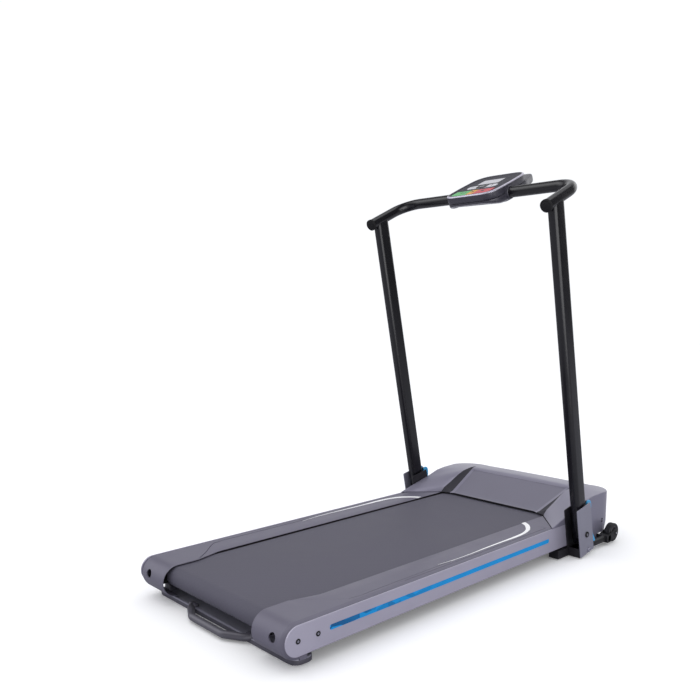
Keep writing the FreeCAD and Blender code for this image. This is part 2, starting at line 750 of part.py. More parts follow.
def floor_pads():
    """Rubber pads under the base bar and under each bracket's foot."""
    pads = []
    for side in (-1, 1):
        for name, x, y in (("rear", tube_centre, d.base_rear + d.base_corner),
                           ("toe", (foot_bar_inner + bracket_inner) / 2,
                            foot_bar_rear + d.pad_side),
                           ("heel", (foot_bar_inner + bracket_inner) / 2,
                            standoff_front - d.pad_side)):
            centre = x * side
            pads.append(box(f"pad_{name}_{side + 1}",
                            (centre - d.pad_side / 2, along(y) - d.pad_side / 2, 0),
                            (centre + d.pad_side / 2, along(y) + d.pad_side / 2,
                             d.pad_height)))
    return group("floor_pads", pads)


node("rear_base_bar", rear_base_bar())
node("lift_handle", lift_handle())
node("floor_pads", floor_pads())


# ------------------------------------------------- mast brackets

def mast_bracket():
    """Two leaning plates with a lip between them, a stand-off and a foot bar."""
    rear, front, top, bottom = -d.plate_rear, d.plate_front, d.plate_top, -d.plate_bottom
    spot = (mast_x, pivot[1], pivot[2])
    plates = across("bracket_block", [(rear, bottom), (front, bottom), (front, top), (rear, top)],
                    bracket_gap + d.plate_thickness * 2, spot, d.lean)
    lip_top = bottom + d.lip_height
    channel = across("bracket_channel",
                     [(rear + d.plate_thickness, bottom - 1), (front + 1, bottom - 1),
                      (front + 1, top + 1), (rear - 1, top + 1), (rear - 1, lip_top),
                      (rear + d.plate_thickness, lip_top)], bracket_gap, spot, d.lean)
    standoff = box("bracket_standoff", (tube_outer, along(standoff_rear), d.foot_bar_top),
                   (bracket_inner, along(standoff_front), d.standoff_top))
    foot = box("bracket_foot", (foot_bar_inner, along(foot_bar_rear), d.pad_height),
               (bracket_inner, along(standoff_front), d.foot_bar_top))
    bolt = rod("mast_bolt_hole", "x", (bracket_inner - 1, pivot[1], pivot[2]),
               bracket_outer - bracket_inner + 2, d.pivot_bolt_radius)
    pin_hole = rod("stand_pin_hole", "x", (bracket_inner - 1, along(stand_y), d.stand_z),
                   bracket_outer - bracket_inner + 2, d.stand_pin_radius)
    channel_cut = cut("bracket_plates", plates, [channel])
    welded = fuse("bracket_welded", [channel_cut, standoff, foot])
    return cut("mast_bracket_right", welded, [bolt, pin_hole])


def headed_pin(name, side, y, z, radius, head):
    """A bolt through both plates of a bracket, with its head outside."""
    outer = bracket_outer
    shank_x = bracket_inner if side > 0 else -outer
    head_x = outer if side > 0 else -outer - d.bolt_head_height
    shank = rod(f"{name}_shank", "x", (shank_x, y, z), outer - bracket_inner, radius)
    cap = rod(f"{name}_cap", "x", (head_x, y, z), d.bolt_head_height, head)
    socket_x = outer + d.bolt_head_height / 2 if side > 0 else -outer - d.bolt_head_height
    socket = rod(f"{name}_socket", "x", (socket_x, y, z), d.bolt_head_height / 2, head / 2)
    return cut(name, fuse(f"{name}_solid", [shank, cap]), [socket])


def bracket_bolts():
    bolts = []
    for side in (-1, 1):
        bolts.append(headed_pin(f"mast_bolt_{side + 1}", side, pivot[1], pivot[2],
                                d.pivot_bolt_radius, d.bolt_head))
        bolts.append(headed_pin(f"stand_bolt_{side + 1}", side, along(stand_y), d.stand_z,
                                d.stand_pin_radius, d.bolt_head * 2 / 3))
    return group("bracket_bolts", bolts)


both_sides("mast_bracket", mast_bracket())
node("bracket_bolts", bracket_bolts())


# ------------------------------------------------- motor hood and belly pan

def hood_volume(name, wall):
    """The hood's rounded block, drawn in by a wall: side view, front view and plan."""
    front, crest, brow = hood_front - wall, d.hood_crest - wall, d.hood_brow - wall
    crest_y = d.front_roller_y + d.hood_crest_ahead
    step_y = d.front_roller_y + d.hood_step_ahead + wall
    past = 1 if wall.value else 0
    low, step = d.hood_bottom - past, d.hood_step - past
    belly = [(along(step_y) - 7, low), (along(step_y) + 3, step), (along(front) - 18, step),
             (along(front), d.hood_step + 25), (along(front), d.hood_step + 68)]
    back = [(along(front) - 3, brow - 8), (along(front) - 14, brow), (along(crest_y), crest),
            (along(crest_y) - 50, crest - 8), (along(crest_y) - 90, crest - 15),
            (along(crest_y) - 177, crest - 37)]
    top = d.foot_rail_top
    if wall.value:
        rear = [(along(wing_rear) + wall * 3, top), (along(wing_rear) + wall * 3, low)]
    else:
        rear = [(along(wing_rear), top), (along(hood_rear), top), (along(hood_rear), low)]
    side_solid = across(f"{name}_side_view", belly + back + rear, d.deck_width)
    front_solid = crowned(f"{name}_front_view", half_width - wall, wall)
    return common(f"{name}_block", [side_solid, front_solid, hood_plan(f"{name}_plan", wall)])


def hood_plan(name, wall):
    """The hood seen from above: two wings at the rear, two round corners in front."""
    half, edge_x = half_width - wall, inner_edge - wall
    front, rear = along(hood_front) - wall, along(recess_rear) - wall
    joint_y = along(hood_rear) - wall
    wing_y = along(wing_rear) - wall
    plan = upward(name, [(half, wing_y), (edge_x, joint_y), (edge_x, rear), (-edge_x, rear),
                         (-edge_x, joint_y), (-half, wing_y), (-half, front), (half, front)], BIG)
    return round_edges(plan, d.hood_corner - wall, lambda edge: runs_along(edge, "z")
                       and abs(edge.Vertexes[0].Point.y - front.value) < 1e-3)


def crowned(name, half, wall):
    """A solid along Y whose top is one shallow arc from shoulder to shoulder."""
    body = new_body(name)
    sketch = new_sketch(body, "XZ_Plane")
    crest = d.hood_crest - wall
    rise = d.hood_crown
    shoulder = crest - rise
    radius = (half * half + rise * rise) / (rise * 2)
    centre = Vector(0, (crest - radius).value, 0)
    spread = math.asin((half / radius).value)
    arc = Part.ArcOfCircle(Part.Circle(centre, Vector(0, 0, 1), radius.value),
                           math.pi / 2 - spread, math.pi / 2 + spread)
    top = sketch.addGeometry(arc, False)
    spots = [flat((-half, shoulder)), flat((-half, -1)), flat((half, -1)), flat((half, shoulder))]
    lines = [sketch.addGeometry(Part.LineSegment(a, b), False)
             for a, b in zip(spots, spots[1:])]
    pin(sketch, top, 1, (half, shoulder))
    pin(sketch, top, 2, (-half, shoulder))
    constrain(sketch, radius, "Radius", top)
    sketch.addConstraint(Sketcher.Constraint("Coincident", top, 2, lines[0], 1))
    for before, after in zip(lines, lines[1:]):
        sketch.addConstraint(Sketcher.Constraint("Coincident", before, 2, after, 1))
    sketch.addConstraint(Sketcher.Constraint("Coincident", lines[2], 2, top, 1))
    pin(sketch, lines[1], 1, (-half, -1))
    pin(sketch, lines[1], 2, (half, -1))
    pad(body, sketch, BIG, midplane=True)
    return body


def recess(name, drop):
    """The sloping trough ahead of the belt, lowered by the hood's wall for its underside."""
    ridge = inner_edge - drop * 0.3
    half = ridge - d.recess_inset
    trough = new_body(name)
    sketch = new_sketch(trough, "XZ_Plane")
    add_polygon(sketch, [(-half, 0), (half, 0), (ridge, d.recess_depth), (ridge, 200),
                         (-ridge, 200), (-ridge, d.recess_depth)])
    pad(trough, sketch, BIG, midplane=True)
    return place(trough, (0, along(recess_rear), d.recess_floor - drop), d.recess_slope)


no_wall = d.hood_wall * 0
hood_outside = hood_volume("hood", no_wall)


def motor_hood():
    """The moulded cover over the motor, open below and at the back."""
    outer = cut("hood_outer", hood_outside, [recess("hood_recess", no_wall)])
    inner = cut("hood_inner", hood_volume("hood_cavity", d.hood_wall),
                [recess("cavity_recess", d.hood_wall * 1.1)])
    notches, gap = [], d.hood_notch_gap
    for side in (-1, 1):
        near, far = tube_inner * side, (half_width + 1) * side
        low_x, high_x = (near, far) if side > 0 else (far, near)
        notches.append(box(f"hood_notch_{side + 1}",
                           (low_x, along(hood_rear) - gap, d.hood_bottom - 1),
                           (high_x, along(standoff_front) + gap, d.standoff_top + gap)))
    window = box("inlet_window",
                 (d.inlet_x - d.inlet_width / 2 - 4, along(hood_front) - 20,
                  d.inlet_z - d.switch_height / 2 - 4),
                 (d.switch_x + d.switch_width / 2 + 4, along(hood_front) + 1,
                  d.inlet_z + d.switch_height / 2 + 4))
    return cut("motor_hood", outer, [inner, window] + notches)


def motor_pan():
    """The belly pan, stepped up at the front over the stand's cross tube."""
    wall = d.hood_wall
    rise_y = along(d.front_roller_y + d.hood_step_ahead)
    low, high = d.hood_bottom, d.hood_step
    outline = [(along(standoff_rear), low), (rise_y - 7, low), (rise_y + 3, high),
               (along(hood_front) - 24, high), (along(hood_front) - 24, high + wall),
               (rise_y + 1, high + wall), (rise_y - 9, low + wall),
               (along(standoff_rear), low + wall)]
    strip = across("pan_strip", outline, d.deck_width)
    sheet = common("pan_sheet", [strip, hood_plan("pan_plan", wall + d.deck_gap)])
    notches = []
    for side in (-1, 1):
        near, far = (foot_bar_inner - 2) * side, half_width * side
        low_x, high_x = (near, far) if side > 0 else (far, near)
        notches.append(box(f"pan_notch_{side + 1}", (low_x, along(standoff_rear) - 1, 0),
                           (high_x, along(standoff_front) + 2, d.standoff_top)))
    return cut("motor_pan", sheet, notches)


def end_feet():
    """Four rubber blocks on the hood's front face, for standing on end when folded."""
    feet = []
    for side in (-1, 1):
        for level, bottom in (("low", d.end_foot_low), ("high", d.end_foot_high)):
            centre = d.end_foot_x * side
            block = box(f"end_foot_block_{level}_{side + 1}",
                        (centre - d.end_foot_width / 2, along(hood_front) - d.hood_wall * 3,
                         bottom),
                        (centre + d.end_foot_width / 2, overall_length / 2,
                         bottom + d.end_foot_height))
            feet.append(cut(f"end_foot_{level}_{side + 1}", block, [hood_outside]))
    return group("end_feet", feet)


node("motor_hood", motor_hood())
node("motor_pan", motor_pan())
node("end_feet", end_feet())


# ------------------------------------------------- drive

def drive_motor():
    can = rod("motor_can", "x", (d.motor_left, along(motor_y), d.motor_z), d.motor_length,
              d.motor_radius)
    neck = rod("motor_neck", "x", (d.motor_left - 6, along(motor_y), d.motor_z), 6,
               d.motor_radius / 2)
    bore = rod("motor_bore", "x", (d.motor_left - 7, along(motor_y), d.motor_z),
               d.motor_length + 8, d.shaft_radius + d.running_gap)
    return cut("drive_motor", fuse("motor_case", [can, neck]), [bore])


mount_rear = along(motor_y) - d.mount_depth / 2


def motor_bracket():
    """A plate between the side tubes with a cradle under the motor."""
    plate_top = tube_bottom + d.mount_plate
    plate = box("mount_sheet", (-tube_inner, mount_rear, tube_bottom),
                (tube_inner, mount_rear + d.mount_depth, plate_top))
    block = box("mount_cradle", (d.motor_left + 15, along(motor_y) - 30, plate_top),
                (d.motor_left + d.motor_length - 15, along(motor_y) + 30, d.motor_z - 14))
    bed = rod("cradle_bed", "x", (d.motor_left, along(motor_y), d.motor_z), d.motor_length,
              d.motor_radius)
    return fuse("motor_bracket", [plate, cut("cradle", block, [bed])])


def rotor():
    """The motor's shaft, flywheel fan and pulley."""
    y, z = along(motor_y), d.motor_z
    shaft_end = d.motor_left + d.motor_length + d.shaft_radius
    shaft = rod("motor_shaft", "x", (pulley_left, y, z), shaft_end - pulley_left, d.shaft_radius)
    wheel_left = d.motor_left - d.flywheel_width - 10
    flywheel = ring("motor_flywheel", "x", (wheel_left, y, z), d.flywheel_width,
                    d.flywheel_radius, d.shaft_radius)
    pulley = ring("motor_pulley", "x", (pulley_left, y, z), d.pulley_width,
                  d.motor_pulley_radius, d.shaft_radius)
    node("motor_shaft", shaft)
    node("motor_flywheel", flywheel)
    node("motor_pulley", pulley)


def drive_belt():
    """The ribbed belt from the motor to the front roller."""
    body = new_body("drive_belt")
    sketch = new_sketch(body, "YZ_Plane")
    for extra in (d.drive_belt_thickness, as_size(0)):
        add_belt_loop(sketch,
                      (along(d.front_roller_y), roller_z),
                      d.roller_pulley_radius + d.belt_clearance + extra,
                      (along(motor_y), d.motor_z),
                      d.motor_pulley_radius + d.belt_clearance + extra)
    pad(body, sketch, d.drive_belt_width, midplane=True)
    return place(body, (pulley_left + d.pulley_width / 2, 0, 0))


def motor_controller():
    """The speed controller's case with cooling fins on top."""
    low = (d.controller_left, mount_rear + 4, tube_bottom + d.mount_plate)
    top = low[2] + d.controller_height
    case = box("controller_case", low,
               (low[0] + d.controller_width, low[1] + d.controller_depth, top))
    fins = []
    for index in range(int(d.fin_count.value)):
        step = d.controller_width / d.fin_count * index
        fins.append(box(f"controller_fin_{index}", (low[0] + step, low[1], top),
                        (low[0] + step + d.fin_thickness, low[1] + d.controller_depth,
                         top + d.fin_height)))
    return fuse("motor_controller", [case] + fins)


node("roller_pulley", ring("roller_pulley", "x",
                           (pulley_left, along(d.front_roller_y), roller_z), d.pulley_width,
                           d.roller_pulley_radius, d.shaft_radius + d.running_gap))
node("drive_motor", drive_motor())
node("motor_bracket", motor_bracket())
rotor()
node("drive_belt", drive_belt())
node("motor_controller", motor_controller())


# ------------------------------------------------- power inlet and switch

inlet_face = along(hood_front) - d.hood_wall
switch_spot = (d.switch_x, inlet_face - d.inlet_plate / 2, d.inlet_z)


def power_inlet():
    """A plate behind the hood's window, with a three-pin socket and the switch's hole."""
    rear = inlet_face - d.inlet_plate
    plate = box("inlet_sheet", (d.inlet_x - d.inlet_width / 2 - 10, rear,
                                d.inlet_z - d.switch_height / 2 - 8),
                (d.switch_x + d.switch_width / 2 + 10, inlet_face,
                 d.inlet_z + d.switch_height / 2 + 8))
    case = box("inlet_case", (d.inlet_x - d.inlet_width / 2 - 2, rear - d.inlet_depth,
                              d.inlet_z - d.inlet_height / 2 - 2),
               (d.inlet_x + d.inlet_width / 2 + 2, rear, d.inlet_z + d.inlet_height / 2 + 2))
    socket = box("inlet_socket", (d.inlet_x - d.inlet_width / 2, rear - d.inlet_depth + 4,
                                  d.inlet_z - d.inlet_height / 2),
                 (d.inlet_x + d.inlet_width / 2, inlet_face + 1, d.inlet_z + d.inlet_height / 2))
    switch_hole = box("switch_hole",
                      (d.switch_x - d.switch_width / 2 - 1, rear - 1,
                       d.inlet_z - d.switch_height / 2 - d.switch_gap),
                      (d.switch_x + d.switch_width / 2 + 1, inlet_face + 1,
                       d.inlet_z + d.switch_height / 2 + d.switch_gap))
    pins = []
    for index, (x, z) in enumerate(((-7, 0), (0, 4), (7, 0))):
        centre_x, centre_z = d.inlet_x + x, d.inlet_z + z
        pins.append(box(f"inlet_pin_{index}", (centre_x - 1, rear - d.inlet_depth + 4, centre_z - 2),
                        (centre_x + 1, inlet_face - 4, centre_z + 2)))
    shell = cut("inlet_shell", fuse("inlet_solid", [plate, case]), [socket, switch_hole])
    pivot_pin = rod("switch_pin", "x", (d.switch_x - d.switch_width / 2 - 1,
                                        switch_spot[1], switch_spot[2]),
                    d.switch_width + 2, d.switch_pin_radius)
    return fuse("power_inlet", [shell, pivot_pin] + pins)


def power_switch():
    """A rocker that turns about a pin along X, at the middle of the plate."""
    half = d.switch_height / 2
    outline = [(-8, -half), (4, -half), (2.5, 0), (4, half), (-8, half)]
    rocker = across("switch_rocker", outline, d.switch_width, switch_spot, d.switch_tilt)
    bore = rod("switch_bore", "x", (d.switch_x - d.switch_width, switch_spot[1], switch_spot[2]),
               d.switch_width * 2, d.switch_pin_radius + d.running_gap)
    return cut("power_switch", rocker, [bore])


node("power_inlet", power_inlet())
node("power_switch", power_switch())


# ------------------------------------------------- mast

def arm_cutter(name, radius, length):
    """A cylinder along the right arm of the handlebar, from its front corner back."""
    cylinder = DOCUMENT.addObject("Part::Cylinder", name)
    bind(cylinder, "Radius", radius)
    bind(cylinder, "Height", length)
    return place(cylinder, (mast_x, cross_y, cross_z), 90 + d.bar_rise)


def upright():
    """A leaning oval-cornered tube with a pivot bore and a saddle for the handlebar."""
    body = new_body("upright_tube")
    sketch = new_sketch(body, "XY_Plane", -d.upright_tail)
    half_x, half_y, wall = d.upright_width / 2, d.upright_depth / 2, d.upright_wall
    add_rounded_rectangle(sketch, (-half_x, -half_y), (half_x, half_y), d.upright_corner)
    add_rounded_rectangle(sketch, (wall - half_x, wall - half_y),
                          (half_x - wall, half_y - wall), d.upright_corner - wall)
    pad(body, sketch, d.upright_length + d.upright_tail)
    bore_across(body, [(0, 0)], d.pivot_bolt_radius + d.running_gap)
    place(body, (mast_x, pivot[1], pivot[2]), d.lean)
    arm = d.bar_front_reach + d.bar_rear_reach
    return cut("upright_right", body, [arm_cutter("saddle", d.bar_radius, arm)])


def handlebar():
    """One round tube: two arms that rise forward, and the cross tube between them."""
    body = new_body("handlebar")
    path = new_sketch(body, "XY_Plane")
    back = -(d.bar_front_reach + d.bar_rear_reach)
    add_bent_path(path, [(-mast_x, back), (-mast_x, 0), (mast_x, 0),
                         (mast_x, back)], d.bar_bend)
    section = new_sketch(body, "XZ_Plane", -back)
    for radius in (d.bar_radius, d.bar_radius - d.bar_wall):
        add_circle(section, (-mast_x, 0), radius)
    sweep = body.newObject("PartDesign::AdditivePipe", "handlebar_sweep")
    sweep.Profile = section
    sweep.Spine = (path, [])
    body.Tip = sweep
    return place(body, cross_spot, d.bar_rise)


def handlebar_caps():
    """A flanged plug in each open end of the handlebar."""
    reach = d.bar_front_reach + d.bar_rear_reach
    end_y = cross_y - reach * cosine(d.bar_rise)
    end_z = cross_z - reach * sine(d.bar_rise)
    caps = []
    for side in (-1, 1):
        pieces = []
        for part, radius, start, length in (
                ("flange", d.cap_radius, as_size(0), d.cap_thickness),
                ("plug", d.bar_radius - d.bar_wall, -d.cap_plug, d.cap_plug)):
            cylinder = DOCUMENT.addObject("Part::Cylinder", f"cap_{part}_{side + 1}")
            bind(cylinder, "Radius", radius)
            bind(cylinder, "Height", length)
            spot = (mast_x * side, end_y - start * cosine(d.bar_rise),
                    end_z - start * sine(d.bar_rise))
            pieces.append(place(cylinder, spot, 90 + d.bar_rise))
        caps.append(fuse(f"handlebar_cap_{side + 1}", pieces))
    return group("handlebar_caps", caps)


def lever_mounts():
    """An ear on the front of each upright, with the lever's pin through it."""
    y, z, half = d.lever_y, d.lever_z, d.upright_depth / 2
    mounts = []
    for side in (-1, 1):
        spot = (mast_x * side, pivot[1], pivot[2])
        ear = across(f"lever_ear_{side + 1}",
                     [(half, z - 11), (y + 4, z - 9), (y + 9, z - 3), (y + 8, z + 6),
                      (y - 2, z + 11), (half, z + 13)], d.ear_width, spot, d.lean)
        pin_body = new_body(f"lever_pin_{side + 1}")
        sketch = new_sketch(pin_body, "YZ_Plane")
        add_circle(sketch, (y, z), d.lever_pin_radius)
        pad(pin_body, sketch, d.lever_width, midplane=True)
        place(pin_body, spot, d.lean)
        mounts.append(fuse(f"lever_mount_{side + 1}", [ear, pin_body]))
    return group("lever_mounts", mounts)


def lock_lever():
    """A curved blade that hangs from its pin in front of the upright, tip flared."""
    y, z, tip = d.lever_y, d.lever_z, -d.lever_tip
    spot = (mast_x, pivot[1], pivot[2])
    blade = across("lever_blade",
                   [(y - 2, z + 13), (y - 10, z + 7), (y - 12, z - 3), (y - 9, z - 14),
                    (y - 5, z - 34), (y - 3, z - 69), (y + 1, tip + 24), (y + 10, tip - 2),
                    (y + 20, tip), (y + 14, tip + 24), (y + 10, z - 69), (y + 10, z - 34),
                    (y + 13, z - 1), (y + 8, z + 9)], d.lever_width, spot, d.lean)
    slot = across("lever_slot", [(y - 20, z - 18), (y + 11, z - 18), (y + 16, z + 16),
                                 (y - 20, z + 16)],
                  d.ear_width + d.lever_gap * 2, spot, d.lean)
    bore = new_body("lever_bore")
    sketch = new_sketch(bore, "YZ_Plane")
    add_circle(sketch, (y, z), d.lever_pin_radius + d.running_gap)
    pad(bore, sketch, d.lever_width * 2, midplane=True)
    place(bore, spot, d.lean)
    return cut("lock_lever_right", blade, [slot, bore])


both_sides("upright", upright())
node("handlebar", handlebar())
node("handlebar_caps", handlebar_caps())
node("lever_mounts", lever_mounts())
both_sides("lock_lever", lock_lever())


# ------------------------------------------------- transport stand

def stand_side(side):
    """One arm of the stand: its eye, tube, fork and axle."""
    x, y, z = mast_x * side, along(stand_y), d.stand_z
    tag = side + 1
    eye = rod(f"stand_eye_{tag}", "x", (x - d.stand_eye_width / 2, y, z), d.stand_eye_width,
              d.stand_eye_radius)
    fork_back = along(wheel_y) - d.wheel_radius - 5
    arm = rod(f"stand_arm_{tag}", "y", (x, y, z), fork_back - 8 - y, d.stand_arm_radius)
    half_fork = d.fork_gap / 2 + d.fork_plate
    bridge = box(f"fork_bridge_{tag}", (x - half_fork, fork_back - 12, z - d.stand_arm_radius),
                 (x + half_fork, fork_back, z + d.stand_arm_radius))
    centre = along(wheel_y)
    plates = across(f"fork_plates_{tag}",
                    [(fork_back - 12, z - 10), (fork_back, z - 10), (centre - 8, z),
                     (centre + 7, d.wheel_z - 9), (centre + 11, d.wheel_z),
                     (centre + 7, d.wheel_z + 9), (centre - 7, d.wheel_z + 10),
                     (fork_back - 12, z + 10)], half_fork * 2, (x, 0, 0))
    well = box(f"fork_well_{tag}", (x - d.fork_gap / 2, fork_back, 0),
               (x + d.fork_gap / 2, centre + d.wheel_radius, d.wheel_z * 2))
    axle = rod(f"wheel_axle_{tag}", "x", (x - half_fork, centre, d.wheel_z), half_fork * 2,
               d.axle_radius)
    fork = cut(f"stand_fork_{tag}", plates, [well])
    return [eye, arm, bridge, fork, axle]


def stand_frame():
    """Both arms and the cross tube that joins them, bored for the pivot pins."""
    parts = stand_side(-1) + stand_side(1)
    reach = mast_x - d.fork_gap / 2
    parts.append(rod("stand_crossbar", "x",
                     (-reach, along(wheel_y) - d.crossbar_back, d.stand_z), reach * 2,
                     d.crossbar_radius))
    bores = [rod(f"stand_bore_{side + 1}", "x",
                 (mast_x * side - d.stand_eye_width, along(stand_y), d.stand_z),
                 d.stand_eye_width * 2, d.stand_pin_radius + d.running_gap) for side in (-1, 1)]
    return cut("stand_frame", fuse("stand_welded", parts), bores)


def wheel(name, side):
    spot_y, spot_z = along(wheel_y), d.wheel_z
    x = mast_x * side
    hub = ring(f"wheel_hub_{name}", "x", (x - d.hub_width / 2, spot_y, spot_z), d.hub_width,
               d.hub_radius, d.axle_radius + d.running_gap)
    tyre = ring(f"wheel_tyre_{name}", "x", (x - d.wheel_width / 2, spot_y, spot_z),
                d.wheel_width, d.wheel_radius, d.hub_radius)
    node(f"wheel_hub_{name}", hub)
    node(f"wheel_tyre_{name}", tyre)


node("stand_frame", stand_frame())
wheel("left", -1)
wheel("right", 1)


# ------------------------------------------------- console

def on_console(thing):
    return place(thing, cross_spot, d.console_tilt)


def face_outline(draw_in):
    """The plan of the console's face, drawn in by a wall."""
    half = d.console_half_width - draw_in
    near, far = draw_in - d.console_user_edge, d.console_face_end - draw_in
    return [(-half, near), (half, near), (half, far), (-half, far)]


def tray_outline(draw_in):
    """The plan of the console's underside, with its chin, drawn in by a wall."""
    half, chin = d.console_half_width - draw_in, d.console_chin_half - draw_in
    near, far = draw_in - d.console_user_edge, d.console_chin - draw_in
    return [(-half, near), (half, near), (half, d.console_shoulder), (chin, far),
            (-chin, far), (-half, d.console_shoulder)]


def console_block(name, outline, draw_in, bottom, top):
    """One of the console's plans as a solid between two levels, with round corners."""
    body = new_body(name)
    sketch = new_sketch(body, "XY_Plane", bottom)
    add_polygon(sketch, outline(draw_in))
    pad(body, sketch, top - bottom)
    round_edges(body, d.console_corner - draw_in, lambda edge: runs_along(edge, "z"))
    return on_console(body)


def console_wedge(name, raised):
    """What the sloping underside takes off by the user, raised by a wall."""
    edge = d.console_user_edge
    return across(name, [(-edge - 1, raised - d.console_lip),
                         (d.console_slope - edge, raised - d.console_bottom),
                         (-edge - 1, raised - d.console_bottom - d.console_wall)],
                  BIG, cross_spot, d.console_tilt)


def console_slab(name, low, high, bottom, top):
    """A rectangular block in the console's frame."""
    body = new_body(name)
    sketch = new_sketch(body, "XY_Plane", bottom)
    add_polygon(sketch, [low, (high[0], low[1]), high, (low[0], high[1])])
    pad(body, sketch, as_size(top) - bottom)
    return on_console(body)


def bar_bore(name):
    reach = d.console_half_width + 5
    return rod(name, "x", (-reach, cross_y, cross_z), reach * 2, d.bar_radius + d.key_gap)


def key_row(gap):
    """Every key: its name, and its plan grown by a gap."""
    outer, pill = d.outer_key_width, d.pill_key_width
    rows = []
    for name, x, y, wide, deep in (
            ("start_button", -d.outer_key_pitch, d.colour_key_y, outer, d.colour_key_depth),
            ("mode_button", 0, d.colour_key_y, d.middle_key_width, d.colour_key_depth),
            ("stop_button", d.outer_key_pitch, d.colour_key_y, outer, d.colour_key_depth),
            ("slower_button", -d.pill_key_pitch, d.pill_key_y, pill, d.pill_key_depth),
            ("program_button", 0, d.pill_key_y, pill, d.pill_key_depth),
            ("faster_button", d.pill_key_pitch, d.pill_key_y, pill, d.pill_key_depth)):
        x = as_size(x)
        rows.append((name, (x - wide / 2 - gap, y - deep / 2 - gap),
                     (x + wide / 2 + gap, y + deep / 2 + gap)))
    return rows


def console_lower_shell():
    """The underside tray with two sleeves that turn on the handlebar."""
    wall = d.console_wall
    outer = cut("lower_outer",
                console_block("lower_block", tray_outline, as_size(0), -d.console_bottom,
                              d.console_split),
                [console_wedge("lower_wedge", as_size(0))])
    hollow = cut("lower_hollow",
                 console_block("lower_room", tray_outline, wall, -(d.console_bottom - wall),
                               d.console_split - wall),
                 [console_wedge("hollow_wedge", wall)])
    mouth = console_block("lower_mouth", face_outline, wall, d.console_split - wall - 1,
                          d.console_split + 1)
    slot = console_slab("safety_slot", (-d.safety_grip / 3, d.console_chin - wall - 1),
                        (d.safety_grip / 3, d.console_chin + 1),
                        d.safety_z, d.safety_z + d.safety_height)
    shell = cut("lower_tray", outer, [hollow, mouth, slot])
    sleeves = []
    for side in (-1, 1):
        near = (d.console_half_width - wall - d.sleeve_width) * side
        x = near if side > 0 else near - d.sleeve_width
        sleeves.append(rod(f"console_sleeve_{side + 1}", "x", (x, cross_y, cross_z),
                           d.sleeve_width, d.sleeve_radius))
    return cut("console_lower_shell", fuse("lower_welded", [shell] + sleeves),
               [bar_bore("lower_bar_bore")])


def console_upper_shell():
    """The face moulding: recessed for its panel, with holes for the keys."""
    wall = d.console_wall
    outer = console_block("upper_block", face_outline, as_size(0), d.console_split,
                          d.console_top)
    hollow = console_block("upper_hollow", face_outline, wall, d.console_split - 1,
                           d.console_top - wall)
    recess = console_block("panel_recess", face_outline, d.panel_rim,
                           d.console_top - d.panel_depth, d.console_top + 1)
    cutters = [hollow, bar_bore("upper_bar_bore"), recess]
    for name, low, high in key_row(d.key_gap):
        cutters.append(console_slab(f"{name}_hole", low, high, d.console_top - wall - 1,
                                    d.console_top + 1))
    return cut("console_upper_shell", outer, cutters)


def console_panel():
    sheet = console_block("panel_sheet", face_outline, d.panel_rim,
                          d.console_top - d.panel_depth, d.console_top)
    holes = [console_slab(f"{name}_window", low, high, d.console_top - d.panel_depth - 1,
                          d.console_top + 1) for name, low, high in key_row(d.key_gap)]
    return cut("console_panel", sheet, holes)


def safety_key():
    """The pull-out stop key: a flat stem in its slot and a wider grip outside."""
    gap = d.key_gap
    stem = console_slab("safety_stem_block",
                        (-(d.safety_grip / 3) + gap, d.console_chin - d.safety_stem),
                        (d.safety_grip / 3 - gap, d.console_chin + gap),
                        d.safety_z + gap, d.safety_z + d.safety_height - gap)
    grip = console_slab("safety_grip_block", (-d.safety_grip / 2, d.console_chin + gap),
                        (d.safety_grip / 2, d.console_chin + d.safety_length),
                        d.safety_z - 2, d.safety_z + d.safety_height + 2)
    return fuse("safety_key", [stem, grip])


node("console_lower_shell", console_lower_shell())
node("console_upper_shell", console_upper_shell())
node("console_panel", console_panel())
node("console_board",
     console_slab("console_board", (-d.board_half, -d.board_user_edge),
                  (d.board_half, d.board_front), d.board_z, d.board_z + d.board_plate))
for key_name, key_low, key_high in key_row(as_size(0)):
    node(key_name, console_slab(key_name, key_low, key_high, d.key_stem,
                                d.console_top + d.key_height))
node("safety_key", safety_key())


# ------------------------------------------------- check and write

def check(things):
    """Stop if any object failed, or a sub-part's shape is empty or not valid."""
    for thing in DOCUMENT.Objects:
        if any(word in ("Invalid", "Error") for word in thing.State):
            raise RuntimeError(f"{thing.Label} failed to compute: {thing.State}")
    for thing in things:
        if thing.Shape.isNull() or not thing.Shape.isValid() or not thing.Shape.Solids:
            raise RuntimeError(f"{thing.Label} has no valid solid")


DOCUMENT.recompute()
check(NODES)
os.makedirs("parts", exist_ok=True)
for piece in NODES:
    piece.Shape.exportStep(f"parts/{piece.Label}.step")
print(f"{len(NODES)} sub-parts written")
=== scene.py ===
"""A folding treadmill: the visible pieces and finishes over its frame, one operator each."""

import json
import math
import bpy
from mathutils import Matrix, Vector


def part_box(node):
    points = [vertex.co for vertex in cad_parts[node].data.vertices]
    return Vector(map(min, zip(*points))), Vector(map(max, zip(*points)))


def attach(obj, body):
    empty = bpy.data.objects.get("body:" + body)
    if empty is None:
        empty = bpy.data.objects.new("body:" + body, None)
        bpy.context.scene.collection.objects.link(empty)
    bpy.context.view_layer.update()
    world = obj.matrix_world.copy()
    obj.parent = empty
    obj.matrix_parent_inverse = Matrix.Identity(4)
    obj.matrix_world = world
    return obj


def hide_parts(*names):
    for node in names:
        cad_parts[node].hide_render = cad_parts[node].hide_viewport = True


bl_info = {
    "name": "Folding Treadmill",
    "version": (1, 0, 0),
    "blender": (4, 5, 0),
    "location": "3D View > Sidebar > Treadmill",
    "description": "Builds the visible pieces and finishes of a folding treadmill",
    "category": "Object",
}

import bmesh
import bpy
from mathutils import Matrix, Vector

